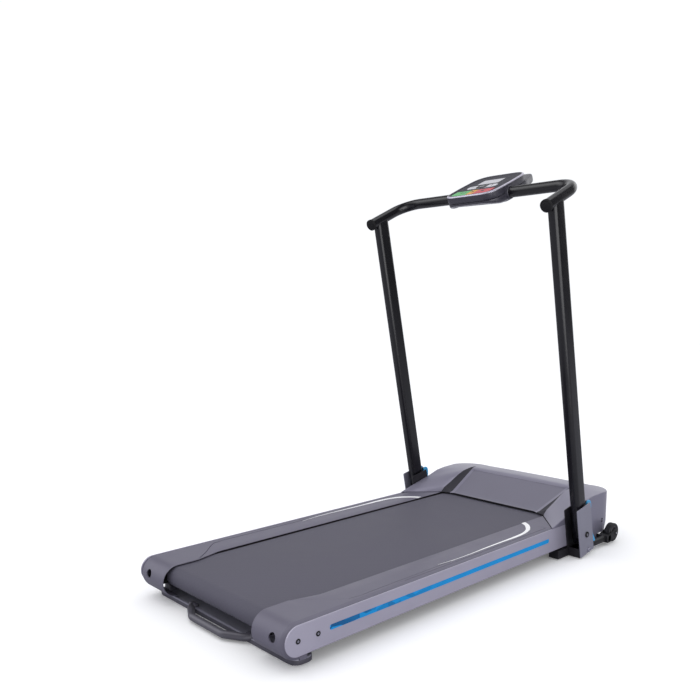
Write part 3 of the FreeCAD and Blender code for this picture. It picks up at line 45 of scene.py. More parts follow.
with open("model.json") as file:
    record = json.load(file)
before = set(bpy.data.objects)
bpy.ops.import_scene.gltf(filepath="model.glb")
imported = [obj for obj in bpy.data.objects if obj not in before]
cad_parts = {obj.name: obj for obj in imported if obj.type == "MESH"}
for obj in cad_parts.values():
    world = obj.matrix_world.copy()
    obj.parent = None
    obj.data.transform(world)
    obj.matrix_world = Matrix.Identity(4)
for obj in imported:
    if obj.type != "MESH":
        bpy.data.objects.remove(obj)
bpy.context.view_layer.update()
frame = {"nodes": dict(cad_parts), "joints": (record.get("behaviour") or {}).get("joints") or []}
MM = 0.001


# ---------------------------------------------------------------- places, in millimetres


def low(node):
    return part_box(node)[0] / MM


def high(node):
    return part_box(node)[1] / MM


def middle(node):
    return (low(node) + high(node)) / 2


def joint_spot(name):
    """Where a joint turns."""
    spot = next(joint["pos_m"] for joint in frame["joints"] if joint["name"] == name)
    return Vector(spot) / MM


TIP = low("foot_rail_right").y          # the rear tip of the deck
DECK_TOP = high("foot_rail_right").z
HALF = high("side_cover_right").x       # half the deck's width
RAIL_OUTER = high("foot_rail_right").x
RAIL_END = high("foot_rail_right").y
PIVOT = joint_spot("mast_fold")
CONSOLE = joint_spot("console_tilt")
STAND_PIN = joint_spot("stand_swing")
WHEEL = joint_spot("wheel_right_roll")
MAST_X = WHEEL.x
LEAN = math.radians(11.7)               # the uprights lean back
ARM_RISE = math.radians(25)             # the handlebar's arms rise forward
CONSOLE_TILT = math.radians(24)
FOOT_X, HANDLE_X = 256, 120             # the rear pads and bolts, and the lift handle's legs


def along(distance):
    """The Y of a place that lies this far forward from the deck's tip."""
    return TIP + distance


# ---------------------------------------------------------------- sizes and colours to change


def length(label, text, default):
    return bpy.props.FloatProperty(name=label, description=text, default=default * MM,
                                   unit="LENGTH", precision=5)


def linear(hex_colour):
    """An sRGB hex colour as linear red, green and blue."""
    parts = [int(hex_colour[i:i + 2], 16) / 255 for i in (1, 3, 5)]
    return tuple(c / 12.92 if c <= 0.04045 else ((c + 0.055) / 1.055) ** 2.4 for c in parts)


def colour(label, text, hex_colour):
    return bpy.props.FloatVectorProperty(name=label, description=text, subtype="COLOR",
                                         default=linear(hex_colour), min=0.0, max=1.0)


class TreadmillSizes(bpy.types.PropertyGroup):
    """Sizes of the visible pieces."""
    groove_width: length("Groove width", "Width of the line round the step zone", 3.0)
    groove_depth: length("Groove depth", "Depth of the line round the step zone", 1.6)
    zone_drop: length("Zone drop", "How far the step zone lies below the rail's top", 0.7)
    edge_drop: length("Edge drop", "Fall of the rail's top at its outer edge", 3.0)
    stripe_height: length("Stripe height", "Height of the coloured side stripe", 12.0)
    hood_side_round: length("Hood side round", "Radius of the hood's top edge at its sides", 3.0)
    hood_front_round: length("Hood front round", "Radius of the hood's top edge in front", 10.0)
    bezel_width: length("Bezel width", "Width of the ring round the console's face", 10.0)
    key_rise: length("Key rise", "How far the keys stand above the panel", 1.3)
    vent_pitch: length("Vent pitch", "Distance between the belly pan's louvres", 9.0)
    rib_pitch: length("Rib pitch", "Distance between the drive belt's ribs", 6.0)
    vent_count: bpy.props.IntProperty(name="Vent count", default=14, min=1, max=40,
                                      description="Number of louvres in each block of vents")


class TreadmillColours(bpy.types.PropertyGroup):
    """Colours of the finishes."""
    belt: colour("Belt", "The walking belt", "#575562")
    rail: colour("Foot rail", "The moulded steps beside the belt", "#6B6878")
    cover: colour("Side cover", "The painted plates on the deck's sides", "#B5B1C2")
    hood: colour("Hood", "The motor hood", "#868395")
    mast: colour("Mast", "The uprights and the handlebar", "#100F15")
    bracket: colour("Bracket", "The plates that hold the mast", "#908F9E")
    accent: colour("Stripe", "The film on the side covers", "#149CE6")
    lever: colour("Levers", "The lock levers and the safety key", "#3FA9E2")
    # painted highlight: the colour of the bright line round the console's face
    console: colour("Console", "The bright edge round the console's face", "#C9C5D4")
    panel: colour("Panel", "The film on the console's face", "#3A3943")
    start_key: colour("Start key", "The start key", "#58B868")
    stop_key: colour("Stop key", "The stop key", "#C9404E")
    mode_key: colour("Mode key", "The mode key", "#E3A23C")


# ---------------------------------------------------------------- making shapes


class Solid:
    """Corners and faces of one piece, in millimetres, with a finish number for each face."""

    def __init__(self):
        self.corners = []
        self.faces = []
        self.finishes = []

    def face(self, indices, finish=0):
        self.faces.append(indices)
        self.finishes.append(finish)

    def rings(self, loops, round_loops=True, ends=True, closed=False, finish=0):
        """Joins rows of equal count with faces: an open run with ends, or a closed ring."""
        first = len(self.corners)
        count = len(loops[0])
        for loop in loops:
            self.corners.extend(Vector(corner) for corner in loop)
        for row in range(len(loops) if closed else len(loops) - 1):
            base = first + row * count
            ahead = first + (row + 1) % len(loops) * count
            for i in range(count if round_loops else count - 1):
                j = (i + 1) % count
                self.face([base + i, base + j, ahead + j, ahead + i], finish)
        if ends and not closed:
            self.face([first + i for i in reversed(range(count))], finish)
            last = first + (len(loops) - 1) * count
            self.face([last + i for i in range(count)], finish)
        return self

    def stack(self, outline, levels):
        """Rows of one outline, each drawn in by an inset at a height: (inset, z)."""
        return self.rings([[(x, y, z) for x, y in shrunk(outline, inset)]
                           for inset, z in levels])

    def prism(self, outline, start, end, axis="x", finish=0):
        """A flat outline carried along an axis: (y, z) for x, (x, z) for y, (x, y) for z."""
        order = {"x": lambda a, b, c: (c, a, b), "y": lambda a, b, c: (a, c, b),
                 "z": lambda a, b, c: (a, b, c)}[axis]
        return self.rings([[order(a, b, level) for a, b in outline] for level in (start, end)],
                          finish=finish)

    def tube(self, path, radius, sides=20, finish=0):
        """A round bar along a path, in any direction but its own turn."""
        path = [Vector(spot) for spot in path]
        loops = []
        side = None
        for i, spot in enumerate(path):
            ahead = (path[min(i + 1, len(path) - 1)] - path[max(i - 1, 0)]).normalized()
            if side is None:
                side = ahead.orthogonal().normalized()
            side = (side - ahead * side.dot(ahead)).normalized()
            other = ahead.cross(side)
            loops.append([spot + (side * math.cos(2 * math.pi * k / sides)
                                  + other * math.sin(2 * math.pi * k / sides)) * radius
                          for k in range(sides)])
        return self.rings(loops, finish=finish)

    def turned(self, profile, spot, steps=40, finish=0, closed=True):
        """A profile of (radius, x) turned about the X axis through a spot."""
        spot = Vector(spot)
        loops = [[spot + Vector((x, radius * math.cos(2 * math.pi * k / steps),
                                 radius * math.sin(2 * math.pi * k / steps)))
                  for k in range(steps)] for radius, x in profile]
        return self.rings(loops, closed=closed, ends=not closed, finish=finish)

    def moved(self, change):
        """Every corner put through a change."""
        self.corners = [change @ corner for corner in self.corners]
        return self

    def mirrored(self):
        """The same piece for the other side of the deck."""
        other = Solid()
        other.corners = [Vector((-c.x, c.y, c.z)) for c in self.corners]
        other.faces = [list(reversed(face)) for face in self.faces]
        other.finishes = list(self.finishes)
        return other


def rounded(outline, radius, steps=5):
    """A closed outline with round corners: one radius, or one for each corner."""
    spots = [Vector(spot) for spot in outline]
    radii = radius if isinstance(radius, (list, tuple)) else [radius] * len(spots)
    result = []
    for i, spot in enumerate(spots):
        before = spots[i - 1] - spot
        after = spots[(i + 1) % len(spots)] - spot
        half = before.angle(after) / 2
        reach = min(radii[i] / math.tan(half), before.length * 0.49, after.length * 0.49)
        if reach < 0.01:
            result.append(tuple(spot))
            continue
        start, end = spot + before.normalized() * reach, spot + after.normalized() * reach
        for k in range(steps + 1):
            t = k / steps
            result.append(tuple(start * (1 - t) ** 2 + spot * 2 * t * (1 - t) + end * t ** 2))
    return result


def shrunk(outline, inset):
    """A closed anticlockwise outline drawn in by an inset."""
    count = len(outline)
    result = []
    for i in range(count):
        before, spot, after = (Vector(outline[(i + k) % count]) for k in (-1, 0, 1))
        one, two = (spot - before).normalized(), (after - spot).normalized()
        inward = Vector((-one.y - two.y, one.x + two.x))
        if inward.length < 1e-6:
            inward = Vector((-one.y, one.x))
        inward.normalize()
        lean = max(0.5, inward.dot(Vector((-one.y, one.x))))
        result.append(tuple(spot + inward * inset / lean))
    return result


def curve_through(spots, steps=6):
    """A smooth row of points through spots."""
    spots = [Vector(spot) for spot in spots]
    result = []
    for i in range(len(spots) - 1):
        a, b, c, d = (spots[max(i - 1, 0)], spots[i], spots[i + 1],
                      spots[min(i + 2, len(spots) - 1)])
        for k in range(steps):
            t = k / steps
            result.append(b + (c - a) * 0.5 * t + (a * 2 - b * 5 + c * 4 - d) * 0.5 * t ** 2
                          + (b * 3 - a - c * 3 + d) * 0.5 * t ** 3)
    return result + [spots[-1]]


def at(table, place):
    """The value of a table of (place, value) rows, straight between its rows."""
    if place <= table[0][0]:
        return table[0][1]
    for (left, first), (right, second) in zip(table, table[1:]):
        if place <= right:
            return first + (second - first) * (place - left) / (right - left)
    return table[-1][1]


def leaned(angle, spot):
    """From a frame that leans by an angle about X, at a spot."""
    return Matrix.Translation(spot) @ Matrix.Rotation(angle, 4, "X")


def mesh_of(name, solid, merge=True):
    """A Blender mesh of a solid, in metres, with its faces outward."""
    shape = bmesh.new()
    corners = [shape.verts.new(corner * MM) for corner in solid.corners]
    for indices, finish in zip(solid.faces, solid.finishes):
        face = shape.faces.new([corners[i] for i in indices])
        face.material_index = finish
        face.smooth = True
    if merge:
        bmesh.ops.remove_doubles(shape, verts=shape.verts, dist=0.02 * MM)
        bmesh.ops.dissolve_degenerate(shape, edges=shape.edges, dist=0.01 * MM)
        bmesh.ops.recalc_face_normals(shape, faces=shape.faces)
        centre = sum((face.calc_center_median() for face in shape.faces), Vector())
        centre /= len(shape.faces)
        outward = sum(face.normal.dot(face.calc_center_median() - centre) * face.calc_area()
                      for face in shape.faces)
        if outward < 0:
            bmesh.ops.reverse_faces(shape, faces=shape.faces)
    mesh = bpy.data.meshes.new(name)
    shape.to_mesh(mesh)
    shape.free()
    return mesh


def settled(piece, name):
    """The piece's mesh with its modifiers made real, in place of the piece's own."""
    graph = bpy.context.evaluated_depsgraph_get()
    mesh = bpy.data.meshes.new_from_object(piece.evaluated_get(graph))
    mesh.name = name
    piece.modifiers.clear()
    piece.data = mesh
    return piece


def link(name, data):
    piece = bpy.data.objects.new(name, data)
    bpy.context.scene.collection.objects.link(piece)
    return piece


def part(name, solid, finishes, body, slot, stands_for=(), wall=0, bevel=0, segments=2,
         sharp=32, holes=(), merge=True):
    """One finished piece: its mesh, walls, holes, round edges, finishes and body; the slot is
    not used.
    """
    piece = link(name, mesh_of(name, solid, merge))
    for finish in finishes:
        piece.data.materials.append(finish)
    if wall:
        shell = piece.modifiers.new("Wall", "SOLIDIFY")
        shell.thickness = wall * MM
        shell.offset = -1
        shell.use_even_offset = True
    cutters = [link("cutter", mesh_of("cutter", hole)) for hole in holes]
    for cutter in cutters:
        opening = piece.modifiers.new("Opening", "BOOLEAN")
        opening.object = cutter
        opening.solver = "EXACT"
    if bevel:
        edges = piece.modifiers.new("Edges", "BEVEL")
        edges.width = bevel * MM
        edges.segments = segments
        edges.limit_method = "ANGLE"
        edges.angle_limit = math.radians(sharp)
        edges.harden_normals = True
    if piece.modifiers:
        settled(piece, name)
    for cutter in cutters:
        bpy.data.objects.remove(cutter)
    if not bevel:
        piece.data.shade_smooth()
        piece.data.set_sharp_from_angle(angle=math.radians(sharp))
    return seated(piece, body, stands_for)


def seated(piece, body, stands_for=()):
    """The piece on its body and the nodes it stands for."""
    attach(piece, body)
    if stands_for:
        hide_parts(*stands_for)
    return piece


# ---------------------------------------------------------------- finishes


def add(tree, kind, settings=None, links=None, stops=()):
    """Adds a node with its settings, a ramp's stops, and sockets linked into its inputs."""
    node = tree.nodes.new(kind)
    for index, (place, value) in enumerate(stops):
        element = node.color_ramp.elements[index]
        element.position = place
        element.color = tuple(value) + (1.0,)
    for key, value in (settings or {}).items():
        if isinstance(key, str) and hasattr(node, key):
            setattr(node, key, value)
        else:
            node.inputs[key].default_value = value
    for key, socket in (links or {}).items():
        tree.links.new(socket, node.inputs[key])
    return node


def shade(value, factor):
    """A linear colour made lighter or darker."""
    return tuple(min(1.0, part * factor) for part in value)


USUAL_NODES = 9  # the most that a usual finish has: one with more has had its pattern added


def finish(name, value, roughness, metallic=0.0, mottle=0.05, mottle_mm=70, swing=0.05,
           grain_mm=2.0, grain=0.1, grain_kind="noise", coat=0.0, specular=0.5, stretch=None,
           sheen=0.0):
    """The usual finish: a mottled colour, an uneven gloss and a fine surface grain."""
    material = bpy.data.materials.get(name)
    if material:
        return material
    material = bpy.data.materials.new(name)
    material.use_nodes = True
    tree = material.node_tree
    tree.nodes.clear()
    place = add(tree, "ShaderNodeTexCoord").outputs["Object"]
    if stretch:
        place = add(tree, "ShaderNodeMapping", {"Scale": stretch},
                    {"Vector": place}).outputs["Vector"]
    cloud = add(tree, "ShaderNodeTexNoise", {"Scale": 1000 / mottle_mm, "Detail": 4.0},
                {"Vector": place}).outputs["Fac"]
    tint = add(tree, "ShaderNodeValToRGB", links={"Fac": cloud},
               stops=((0.3, shade(value, 1 - mottle)),
                      (0.7, shade(value, 1 + mottle)))).outputs["Color"]
    gloss = add(tree, "ShaderNodeMapRange",
                {"From Min": 0.3, "From Max": 0.7, "To Min": roughness - swing,
                 "To Max": roughness + swing}, {"Value": cloud}).outputs["Result"]
    if grain_kind == "cells":
        relief = add(tree, "ShaderNodeTexVoronoi", {"Scale": 1000 / grain_mm},
                     {"Vector": place}).outputs["Distance"]
    else:
        relief = add(tree, "ShaderNodeTexNoise", {"Scale": 1000 / grain_mm, "Detail": 2.0},
                     {"Vector": place}).outputs["Fac"]
    bump = add(tree, "ShaderNodeBump", {"Strength": grain, "Distance": 0.0004},
               {"Height": relief}).outputs["Normal"]
    shader = add(tree, "ShaderNodeBsdfPrincipled",
                 {"Metallic": metallic, "Coat Weight": coat, "Coat Roughness": 0.08},
                 {"Base Color": tint, "Roughness": gloss, "Normal": bump})
    if not metallic:
        shader.inputs["Specular IOR Level"].default_value = specular
    if sheen:
        shader.inputs["Sheen Weight"].default_value = sheen
    add(tree, "ShaderNodeOutputMaterial", links={"Surface": shader.outputs["BSDF"]})
    return material


def chosen(name):
    """A colour that the user may change."""
    return tuple(getattr(bpy.context.scene.treadmill_colours, name))


def shader_of(material):
    return next(node for node in material.node_tree.nodes if node.type == "BSDF_PRINCIPLED")


def powder_coat_black():
    # powder coat on welded steel: near black, satin, with a faint orange peel
    return finish("powder_coat_black", linear("#151418"), 0.5, grain_mm=3.5, grain=0.25)


def powder_coat_grey():
    # powder coat on the rear tray's sides, risers and bosses: charcoal, satin; its rim and top
    # take the paler bracket enamel as painted light
    return finish("powder_coat_grey", linear("#55535E"), 0.36, grain_mm=3.5, grain=0.2)


def gloss_enamel_black():
    # wet enamel on drawn tube: deep black that shows long soft reflections
    return finish("gloss_enamel_black", chosen("mast"), 0.24, grain_mm=9,
                  grain=0.04, mottle=0.1, swing=0.03)


def satin_enamel_grey():
    # sprayed satin enamel on bent plate: mid grey with a dry, even gloss
    return finish("satin_enamel_grey", chosen("bracket"), 0.42, metallic=0.25, grain_mm=3,
                  grain=0.15, mottle=0.04)


def satin_enamel_dark():
    # the same enamel as a near-black copy: partly the stand-off's and foot bar's own black,
    # partly painted shade on the inner plate and lip inside the channel, where little of it is
    # seen
    return finish("satin_enamel_dark", linear("#1B1920"), 0.5, grain_mm=3, grain=0.2)


def black_oxide_steel():
    # blackened steel of bolts and cup washers: deep black with a thin oily gloss
    return finish("black_oxide_steel", linear("#0E0E12"), 0.42, grain_mm=1.2, grain=0.15,
                  mottle=0.1, mottle_mm=5, specular=0.3)


def moulded_rubber():
    # pressed rubber: black and dull, slightly dusty
    return finish("moulded_rubber", linear("#141317"), 0.8, grain_mm=1.6, grain=0.3,
                  mottle=0.15, mottle_mm=25, specular=0.3)


def grained_abs():
    # moulded ABS with a fine leather grain: soft grey, gently broken gloss
    return finish("grained_abs", chosen("rail"), 0.46, grain_mm=2.4, grain=0.22,
                  grain_kind="cells", mottle=0.03, metallic=0.12)


def silver_paint_on_abs():
    # silver lacquer over smooth ABS: light, with a fine flake in it
    return finish("silver_paint_on_abs", chosen("cover"), 0.38, metallic=0.35, grain_mm=1.4,
                  grain=0.1, mottle=0.03, mottle_mm=120)


def metallic_paint_on_hood():
    # grey lacquer with a little flake: dark face on, light at a low angle
    return finish("metallic_paint_on_hood", chosen("hood"), 0.34, metallic=0.3, grain_mm=1.8,
                  grain=0.1, mottle=0.03, mottle_mm=150, coat=0.15)


def hood_panel_paint():
    # the same lacquer, drier, and darker as painted shade on the sloping panel, where the band
    # beside it catches more light
    return finish("hood_panel_paint", shade(chosen("hood"), 0.72), 0.46, grain_mm=1.8,
                  grain=0.1, mottle=0.03, mottle_mm=150)


def hood_recess_paint():
    # painted shade: a near-black, dull copy of the hood's lacquer on the recess's side walls,
    # standing in for the shade in the deep step
    return finish("hood_recess_paint", shade(chosen("hood"), 0.14), 0.55, grain_mm=1.8,
                  grain=0.2, mottle=0.05, mottle_mm=60, specular=0.25)


def black_abs():
    # moulded black ABS: satin, with the fine spark finish of its mould
    return finish("black_abs", linear("#232226"), 0.48, grain_mm=1.5, grain=0.2)


def satin_lacquer_grey():
    # grey lacquer on round bar: satin, in slightly uneven patches as from handling
    return finish("satin_lacquer_grey", linear("#5F5D66"), 0.36, metallic=0.25, grain_mm=4,
                  grain=0.12, mottle=0.09, mottle_mm=40)


def zinc_plate():
    # bright zinc on turned steel: pale metal with a faint bluish bloom
    return finish("zinc_plate", linear("#C3C5CA"), 0.3, metallic=1.0, grain_mm=1.2,
                  grain=0.12, grain_kind="cells", mottle=0.12, mottle_mm=8)


def turned_steel():
    # steel turned on a lathe: rings of fine tool marks round its axis
    return finish("turned_steel", linear("#9C9FA4"), 0.32, metallic=1.0, grain_mm=1.0,
                  grain=0.25, mottle=0.1, mottle_mm=20, stretch=(6.0, 0.6, 0.6))


def cast_iron():
    # sand-cast iron: dark, rough metal
    return finish("cast_iron", linear("#5A5A5C"), 0.6, metallic=0.8, grain_mm=2.2, grain=0.6,
                  mottle=0.2, mottle_mm=12)


def die_cast_pulley():
    # die-cast aluminium: pale grey with a smooth casting skin
    return finish("die_cast_pulley", linear("#B4B6BA"), 0.42, metallic=1.0, grain_mm=3,
                  grain=0.25, mottle=0.08, mottle_mm=18)


def motor_enamel():
    # brushed-on enamel on the motor's drawn can
    return finish("motor_enamel", linear("#3A3A40"), 0.45, grain_mm=4, grain=0.3,
                  mottle=0.12, mottle_mm=30)


def anodised_heat_sink():
    # anodised aluminium: pale satin metal with drawing lines along its fins
    return finish("anodised_heat_sink", linear("#A7AAB0"), 0.35, metallic=1.0, grain_mm=1.2,
                  grain=0.3, mottle=0.06, mottle_mm=15, stretch=(0.3, 4.0, 4.0))


def blue_abs():
    # self-coloured ABS: clear light blue, half gloss, flow marks barely seen
    return finish("blue_abs", chosen("lever"), 0.33, grain_mm=3, grain=0.08, mottle=0.06,
                  mottle_mm=22, coat=0.2)


def console_paint():
    # painted highlight: pale silver lacquer on the console's rounded edge, a thin bright line
    # round its face that stands in for the light the edge catches
    return finish("console_paint", chosen("console"), 0.3, metallic=0.35, grain_mm=1.6,
                  grain=0.1, mottle=0.04, mottle_mm=40)


def console_abs_dark():
    # dark grey ABS of the console's sides and underside: satin, with one soft highlight
    return finish("console_abs_dark", linear("#3F3D48"), 0.36, grain_mm=1.8, grain=0.18,
                  mottle=0.05, mottle_mm=30)


def console_abs_light():
    # painted light: pale grey on the underside by the user, standing in for light from the white
    # floor below; dry, with a fine mould grain
    return finish("console_abs_light", linear("#A9A8AE"), 0.45, grain_mm=1.8, grain=0.18,
                  mottle=0.05, mottle_mm=30)


def urethane_tread():
    # cast urethane tyre: black-grey and half dull, with small scuffs all over
    return finish("urethane_tread", linear("#18171B"), 0.58, grain_mm=2.0, grain=0.35,
                  mottle=0.25, mottle_mm=9)


def nylon_hub():
    # moulded nylon hub: dark grey with a soft waxy gloss
    return finish("nylon_hub", linear("#36343C"), 0.4, grain_mm=2.5, grain=0.15, mottle=0.08,
                  mottle_mm=12)


def painted_highlight_trim():
    # painted highlight: a near-white, half-gloss strip on the step's line, brighter than all
    # round it, standing in for the light caught on the line's bevel
    return finish("white_abs_trim", linear("#FBFBFD"), 0.3, grain_mm=4, grain=0.05,
                  mottle=0.01, swing=0.03)


def display_glass():
    # liquid-crystal display under its window: light grey, faintly streaked
    return finish("display_glass", linear("#B4B3BC"), 0.25, grain_mm=6, grain=0.02,
                  mottle=0.06, mottle_mm=18, stretch=(0.4, 2.0, 2.0), coat=0.3)


def panel_film():
    # printed polyester film with a matt hard coat: near black, little gloss
    return finish("printed_polyester_film", chosen("panel"), 0.55, grain_mm=2.2, grain=0.08,
                  mottle=0.12, mottle_mm=30, specular=0.2)


def key_cap(name, value):
    # silicone key with a printed colour: a soft gloss, faintly uneven
    return finish(f"silicone_key_{name}", value, 0.42, grain_mm=2.5, grain=0.12, mottle=0.1,
                  mottle_mm=14)


def printed_mark(name, hex_colour):
    # screen-printed ink: flat colour with a dry edge
    return finish(f"screen_ink_{name}", linear(hex_colour), 0.5, grain_mm=1.0, grain=0.1,
                  mottle=0.06, mottle_mm=6)


def woven_belting():
    # PVC belting over woven polyester: dark grey, with a small pressed diamond that catches
    # light; the real diamond is 1.5 mm and is drawn at 5 mm so that it shows
    material = finish("woven_belting", chosen("belt"), 0.62, mottle=0.04, mottle_mm=180,
                      grain=0.0, specular=0.25, sheen=0.03)
    tree = material.node_tree
    if len(tree.nodes) > USUAL_NODES:
        return material
    place = add(tree, "ShaderNodeUVMap", {"uv_map": "UVMap"}).outputs["UV"]
    height = None
    for turn in (0.7854, -0.7854):
        turned = add(tree, "ShaderNodeMapping", {"Rotation": (0, 0, turn)},
                     {"Vector": place}).outputs["Vector"]
        wave = add(tree, "ShaderNodeTexWave",
                   {"Scale": 1000 / 5.0 / math.pi / 2, "Distortion": 0.4, "Detail": 1.0},
                   {"Vector": turned}).outputs["Fac"]
        height = wave if height is None else add(
            tree, "ShaderNodeMath", {"operation": "MULTIPLY"},
            {0: height, 1: wave}).outputs["Value"]
    bump = add(tree, "ShaderNodeBump", {"Strength": 0.3, "Distance": 0.0005},
               {"Height": height}).outputs["Normal"]
    tree.links.new(bump, shader_of(material).inputs["Normal"])
    return material


def stripe_film():
    # reflective film on the side cover: bright blue, turning to navy facets at the rear
    material = finish("stripe_film", chosen("accent"), 0.5, mottle=0.05, mottle_mm=60,
                      grain=0.02, specular=0.2)
    tree = material.node_tree
    if len(tree.nodes) > USUAL_NODES:
        return material
    place = add(tree, "ShaderNodeTexCoord").outputs["Object"]
    facets = add(tree, "ShaderNodeTexVoronoi", {"Scale": 45.0, "feature": "F1"},
                 {"Vector": add(tree, "ShaderNodeMapping", {"Scale": (1.0, 0.8, 2.2)},
                                {"Vector": place}).outputs["Vector"]})
    spread = add(tree, "ShaderNodeSeparateXYZ", links={"Vector": place}).outputs["Y"]
    fade = add(tree, "ShaderNodeMapRange",
               {"From Min": along(120) * MM, "From Max": along(520) * MM, "To Min": 0.75,
                "To Max": 0.0}, {"Value": spread}).outputs["Result"]
    pick = add(tree, "ShaderNodeValToRGB", links={"Fac": facets.outputs["Color"]},
               stops=((0.35, (0, 0, 0)), (0.6, (1, 1, 1)))).outputs["Color"]
    amount = add(tree, "ShaderNodeMath", {"operation": "MULTIPLY"},
                 {0: fade, 1: pick}).outputs["Value"]
    shader = shader_of(material)
    plain = shader.inputs["Base Color"].links[0].from_socket
    mixed = add(tree, "ShaderNodeMix",
                {"data_type": "RGBA", 7: linear("#0B2E63") + (1.0,)},
                {0: amount, 6: plain}).outputs[2]
    tree.links.new(mixed, shader.inputs["Base Color"])
    return material


def fibre_board():
    # pressed and waxed fibre board: dark brown, with fine fibres along the deck
    return finish("fibre_board", linear("#2C2725"), 0.6, grain_mm=1.5, grain=0.4, mottle=0.2,
                  mottle_mm=7, stretch=(1.6, 0.25, 1.6))


def circuit_board():
    # solder mask over copper: green, with lighter tracks under it
    material = finish("circuit_board", linear("#1E5B37"), 0.35, mottle=0.15, mottle_mm=6)
    tree = material.node_tree
    if len(tree.nodes) > USUAL_NODES:
        return material
    place = add(tree, "ShaderNodeTexCoord").outputs["Object"]
    tracks = add(tree, "ShaderNodeTexBrick",
                 {"Scale": 160.0, "Mortar Size": 0.03, "Color1": linear("#1E5B37") + (1,),
                  "Color2": linear("#236A41") + (1,), "Mortar": linear("#6FB07F") + (1,)},
                 {"Vector": place}).outputs["Color"]
    tree.links.new(tracks, shader_of(material).inputs["Base Color"])
    return material


# ---------------------------------------------------------------- trees of geometry nodes


def new_tree(name, inputs):
    """An empty tree with one geometry in and out, and named inputs."""
    tree = bpy.data.node_groups.new(name, "GeometryNodeTree")
    tree.interface.new_socket("Geometry", in_out="INPUT", socket_type="NodeSocketGeometry")
    tree.interface.new_socket("Geometry", in_out="OUTPUT", socket_type="NodeSocketGeometry")
    for label, kind in inputs:
        tree.interface.new_socket(label, in_out="INPUT", socket_type=f"NodeSocket{kind}")
    return tree, add(tree, "NodeGroupInput").outputs


def made_real(tree, given, shape):
    """Ends a tree: its copies are made real and take the given finish."""
    real = add(tree, "GeometryNodeRealizeInstances", links={"Geometry": shape})
    done = add(tree, "GeometryNodeSetMaterial",
               links={"Geometry": real.outputs["Geometry"], "Material": given["Finish"]})
    add(tree, "NodeGroupOutput", links={"Geometry": done.outputs["Geometry"]})
    return tree


def bent_tube_tree():
    """A round tube that follows a bent path."""
    tree, given = new_tree("bent_tube", (("Bend Radius", "Float"), ("Tube Radius", "Float"),
                                         ("Bend Steps", "Int"), ("Sides", "Int"),
                                         ("Finish", "Material")))
    path = add(tree, "GeometryNodeMeshToCurve", links={"Mesh": given["Geometry"]})
    bent = add(tree, "GeometryNodeFilletCurve", {"mode": "POLY"},
               {"Curve": path.outputs["Curve"], "Radius": given["Bend Radius"],
                "Count": given["Bend Steps"]})
    section = add(tree, "GeometryNodeCurvePrimitiveCircle",
                  links={"Radius": given["Tube Radius"], "Resolution": given["Sides"]})
    tube = add(tree, "GeometryNodeCurveToMesh", {"Fill Caps": True},
               {"Curve": bent.outputs["Curve"], "Profile Curve": section.outputs["Curve"]})
    return made_real(tree, given, tube.outputs["Mesh"])


def repeated_tree():
    """One small piece set at every point, turned to face its point's own way."""
    tree, given = new_tree("repeated", (("Piece", "Object"), ("Size", "Float"),
                                        ("Finish", "Material")))
    shape = add(tree, "GeometryNodeObjectInfo", links={"Object": given["Piece"]})
    facing = add(tree, "GeometryNodeInputNamedAttribute",
                 {"data_type": "FLOAT_VECTOR", "Name": "facing"})
    turn = add(tree, "FunctionNodeAlignRotationToVector", {"axis": "X"},
               {"Vector": facing.outputs["Attribute"]})
    points = add(tree, "GeometryNodeMeshToPoints", links={"Mesh": given["Geometry"]})
    placed = add(tree, "GeometryNodeInstanceOnPoints",
                 links={"Points": points.outputs["Points"],
                        "Instance": shape.outputs["Geometry"],
                        "Rotation": turn.outputs["Rotation"], "Scale": given["Size"]})
    return made_real(tree, given, placed.outputs["Instances"])


def louvre_tree():
    """A block of louvres: round-ended bars in a row, at an even pitch."""
    tree, given = new_tree("louvres", (("Count", "Int"), ("Pitch", "Float"),
                                       ("Length", "Float"), ("Bar Radius", "Float"),
                                       ("Finish", "Material")))
    row = add(tree, "GeometryNodeMeshLine", {"mode": "OFFSET"}, {"Count": given["Count"]})
    step = add(tree, "ShaderNodeCombineXYZ", links={"X": given["Pitch"]})
    tree.links.new(step.outputs["Vector"], row.inputs["Offset"])
    half = add(tree, "ShaderNodeCombineXYZ", links={"Y": given["Length"]})
    line = add(tree, "GeometryNodeCurvePrimitiveLine", links={"End": half.outputs["Vector"]})
    section = add(tree, "GeometryNodeCurvePrimitiveCircle", {"Resolution": 8},
                  {"Radius": given["Bar Radius"]})
    bar = add(tree, "GeometryNodeCurveToMesh", {"Fill Caps": True},
              {"Curve": line.outputs["Curve"], "Profile Curve": section.outputs["Curve"]})
    anchors = add(tree, "GeometryNodeMeshToPoints", links={"Mesh": given["Geometry"]})
    blocks = add(tree, "GeometryNodeInstanceOnPoints",
                 links={"Points": row.outputs["Mesh"], "Instance": bar.outputs["Mesh"]})
    spread = add(tree, "GeometryNodeInstanceOnPoints",
                 links={"Points": anchors.outputs["Points"],
                        "Instance": blocks.outputs["Instances"]})
    return made_real(tree, given, spread.outputs["Instances"])


def grown(name, spots, tree_maker, values, joined=False, facings=None, sharp=35):
    """A piece grown from spots by a tree, turned into a plain mesh."""
    seed = bpy.data.meshes.new(name)
    edges = [(i, i + 1) for i in range(len(spots) - 1)] if joined else []
    seed.from_pydata([Vector(spot) * MM for spot in spots], edges, [])
    if facings:
        layer = seed.attributes.new("facing", "FLOAT_VECTOR", "POINT")
        for item, facing in zip(layer.data, facings):
            item.vector = facing
    piece = link(name, seed)
    tree = tree_maker()
    maker = piece.modifiers.new("Maker", "NODES")
    maker.node_group = tree
    for socket in tree.interface.items_tree:
        if socket.in_out == "INPUT" and socket.name in values:
            maker[socket.identifier] = values[socket.name]
    settled(piece, name)
    piece.data.shade_smooth()
    piece.data.set_sharp_from_angle(angle=math.radians(sharp))
    return piece


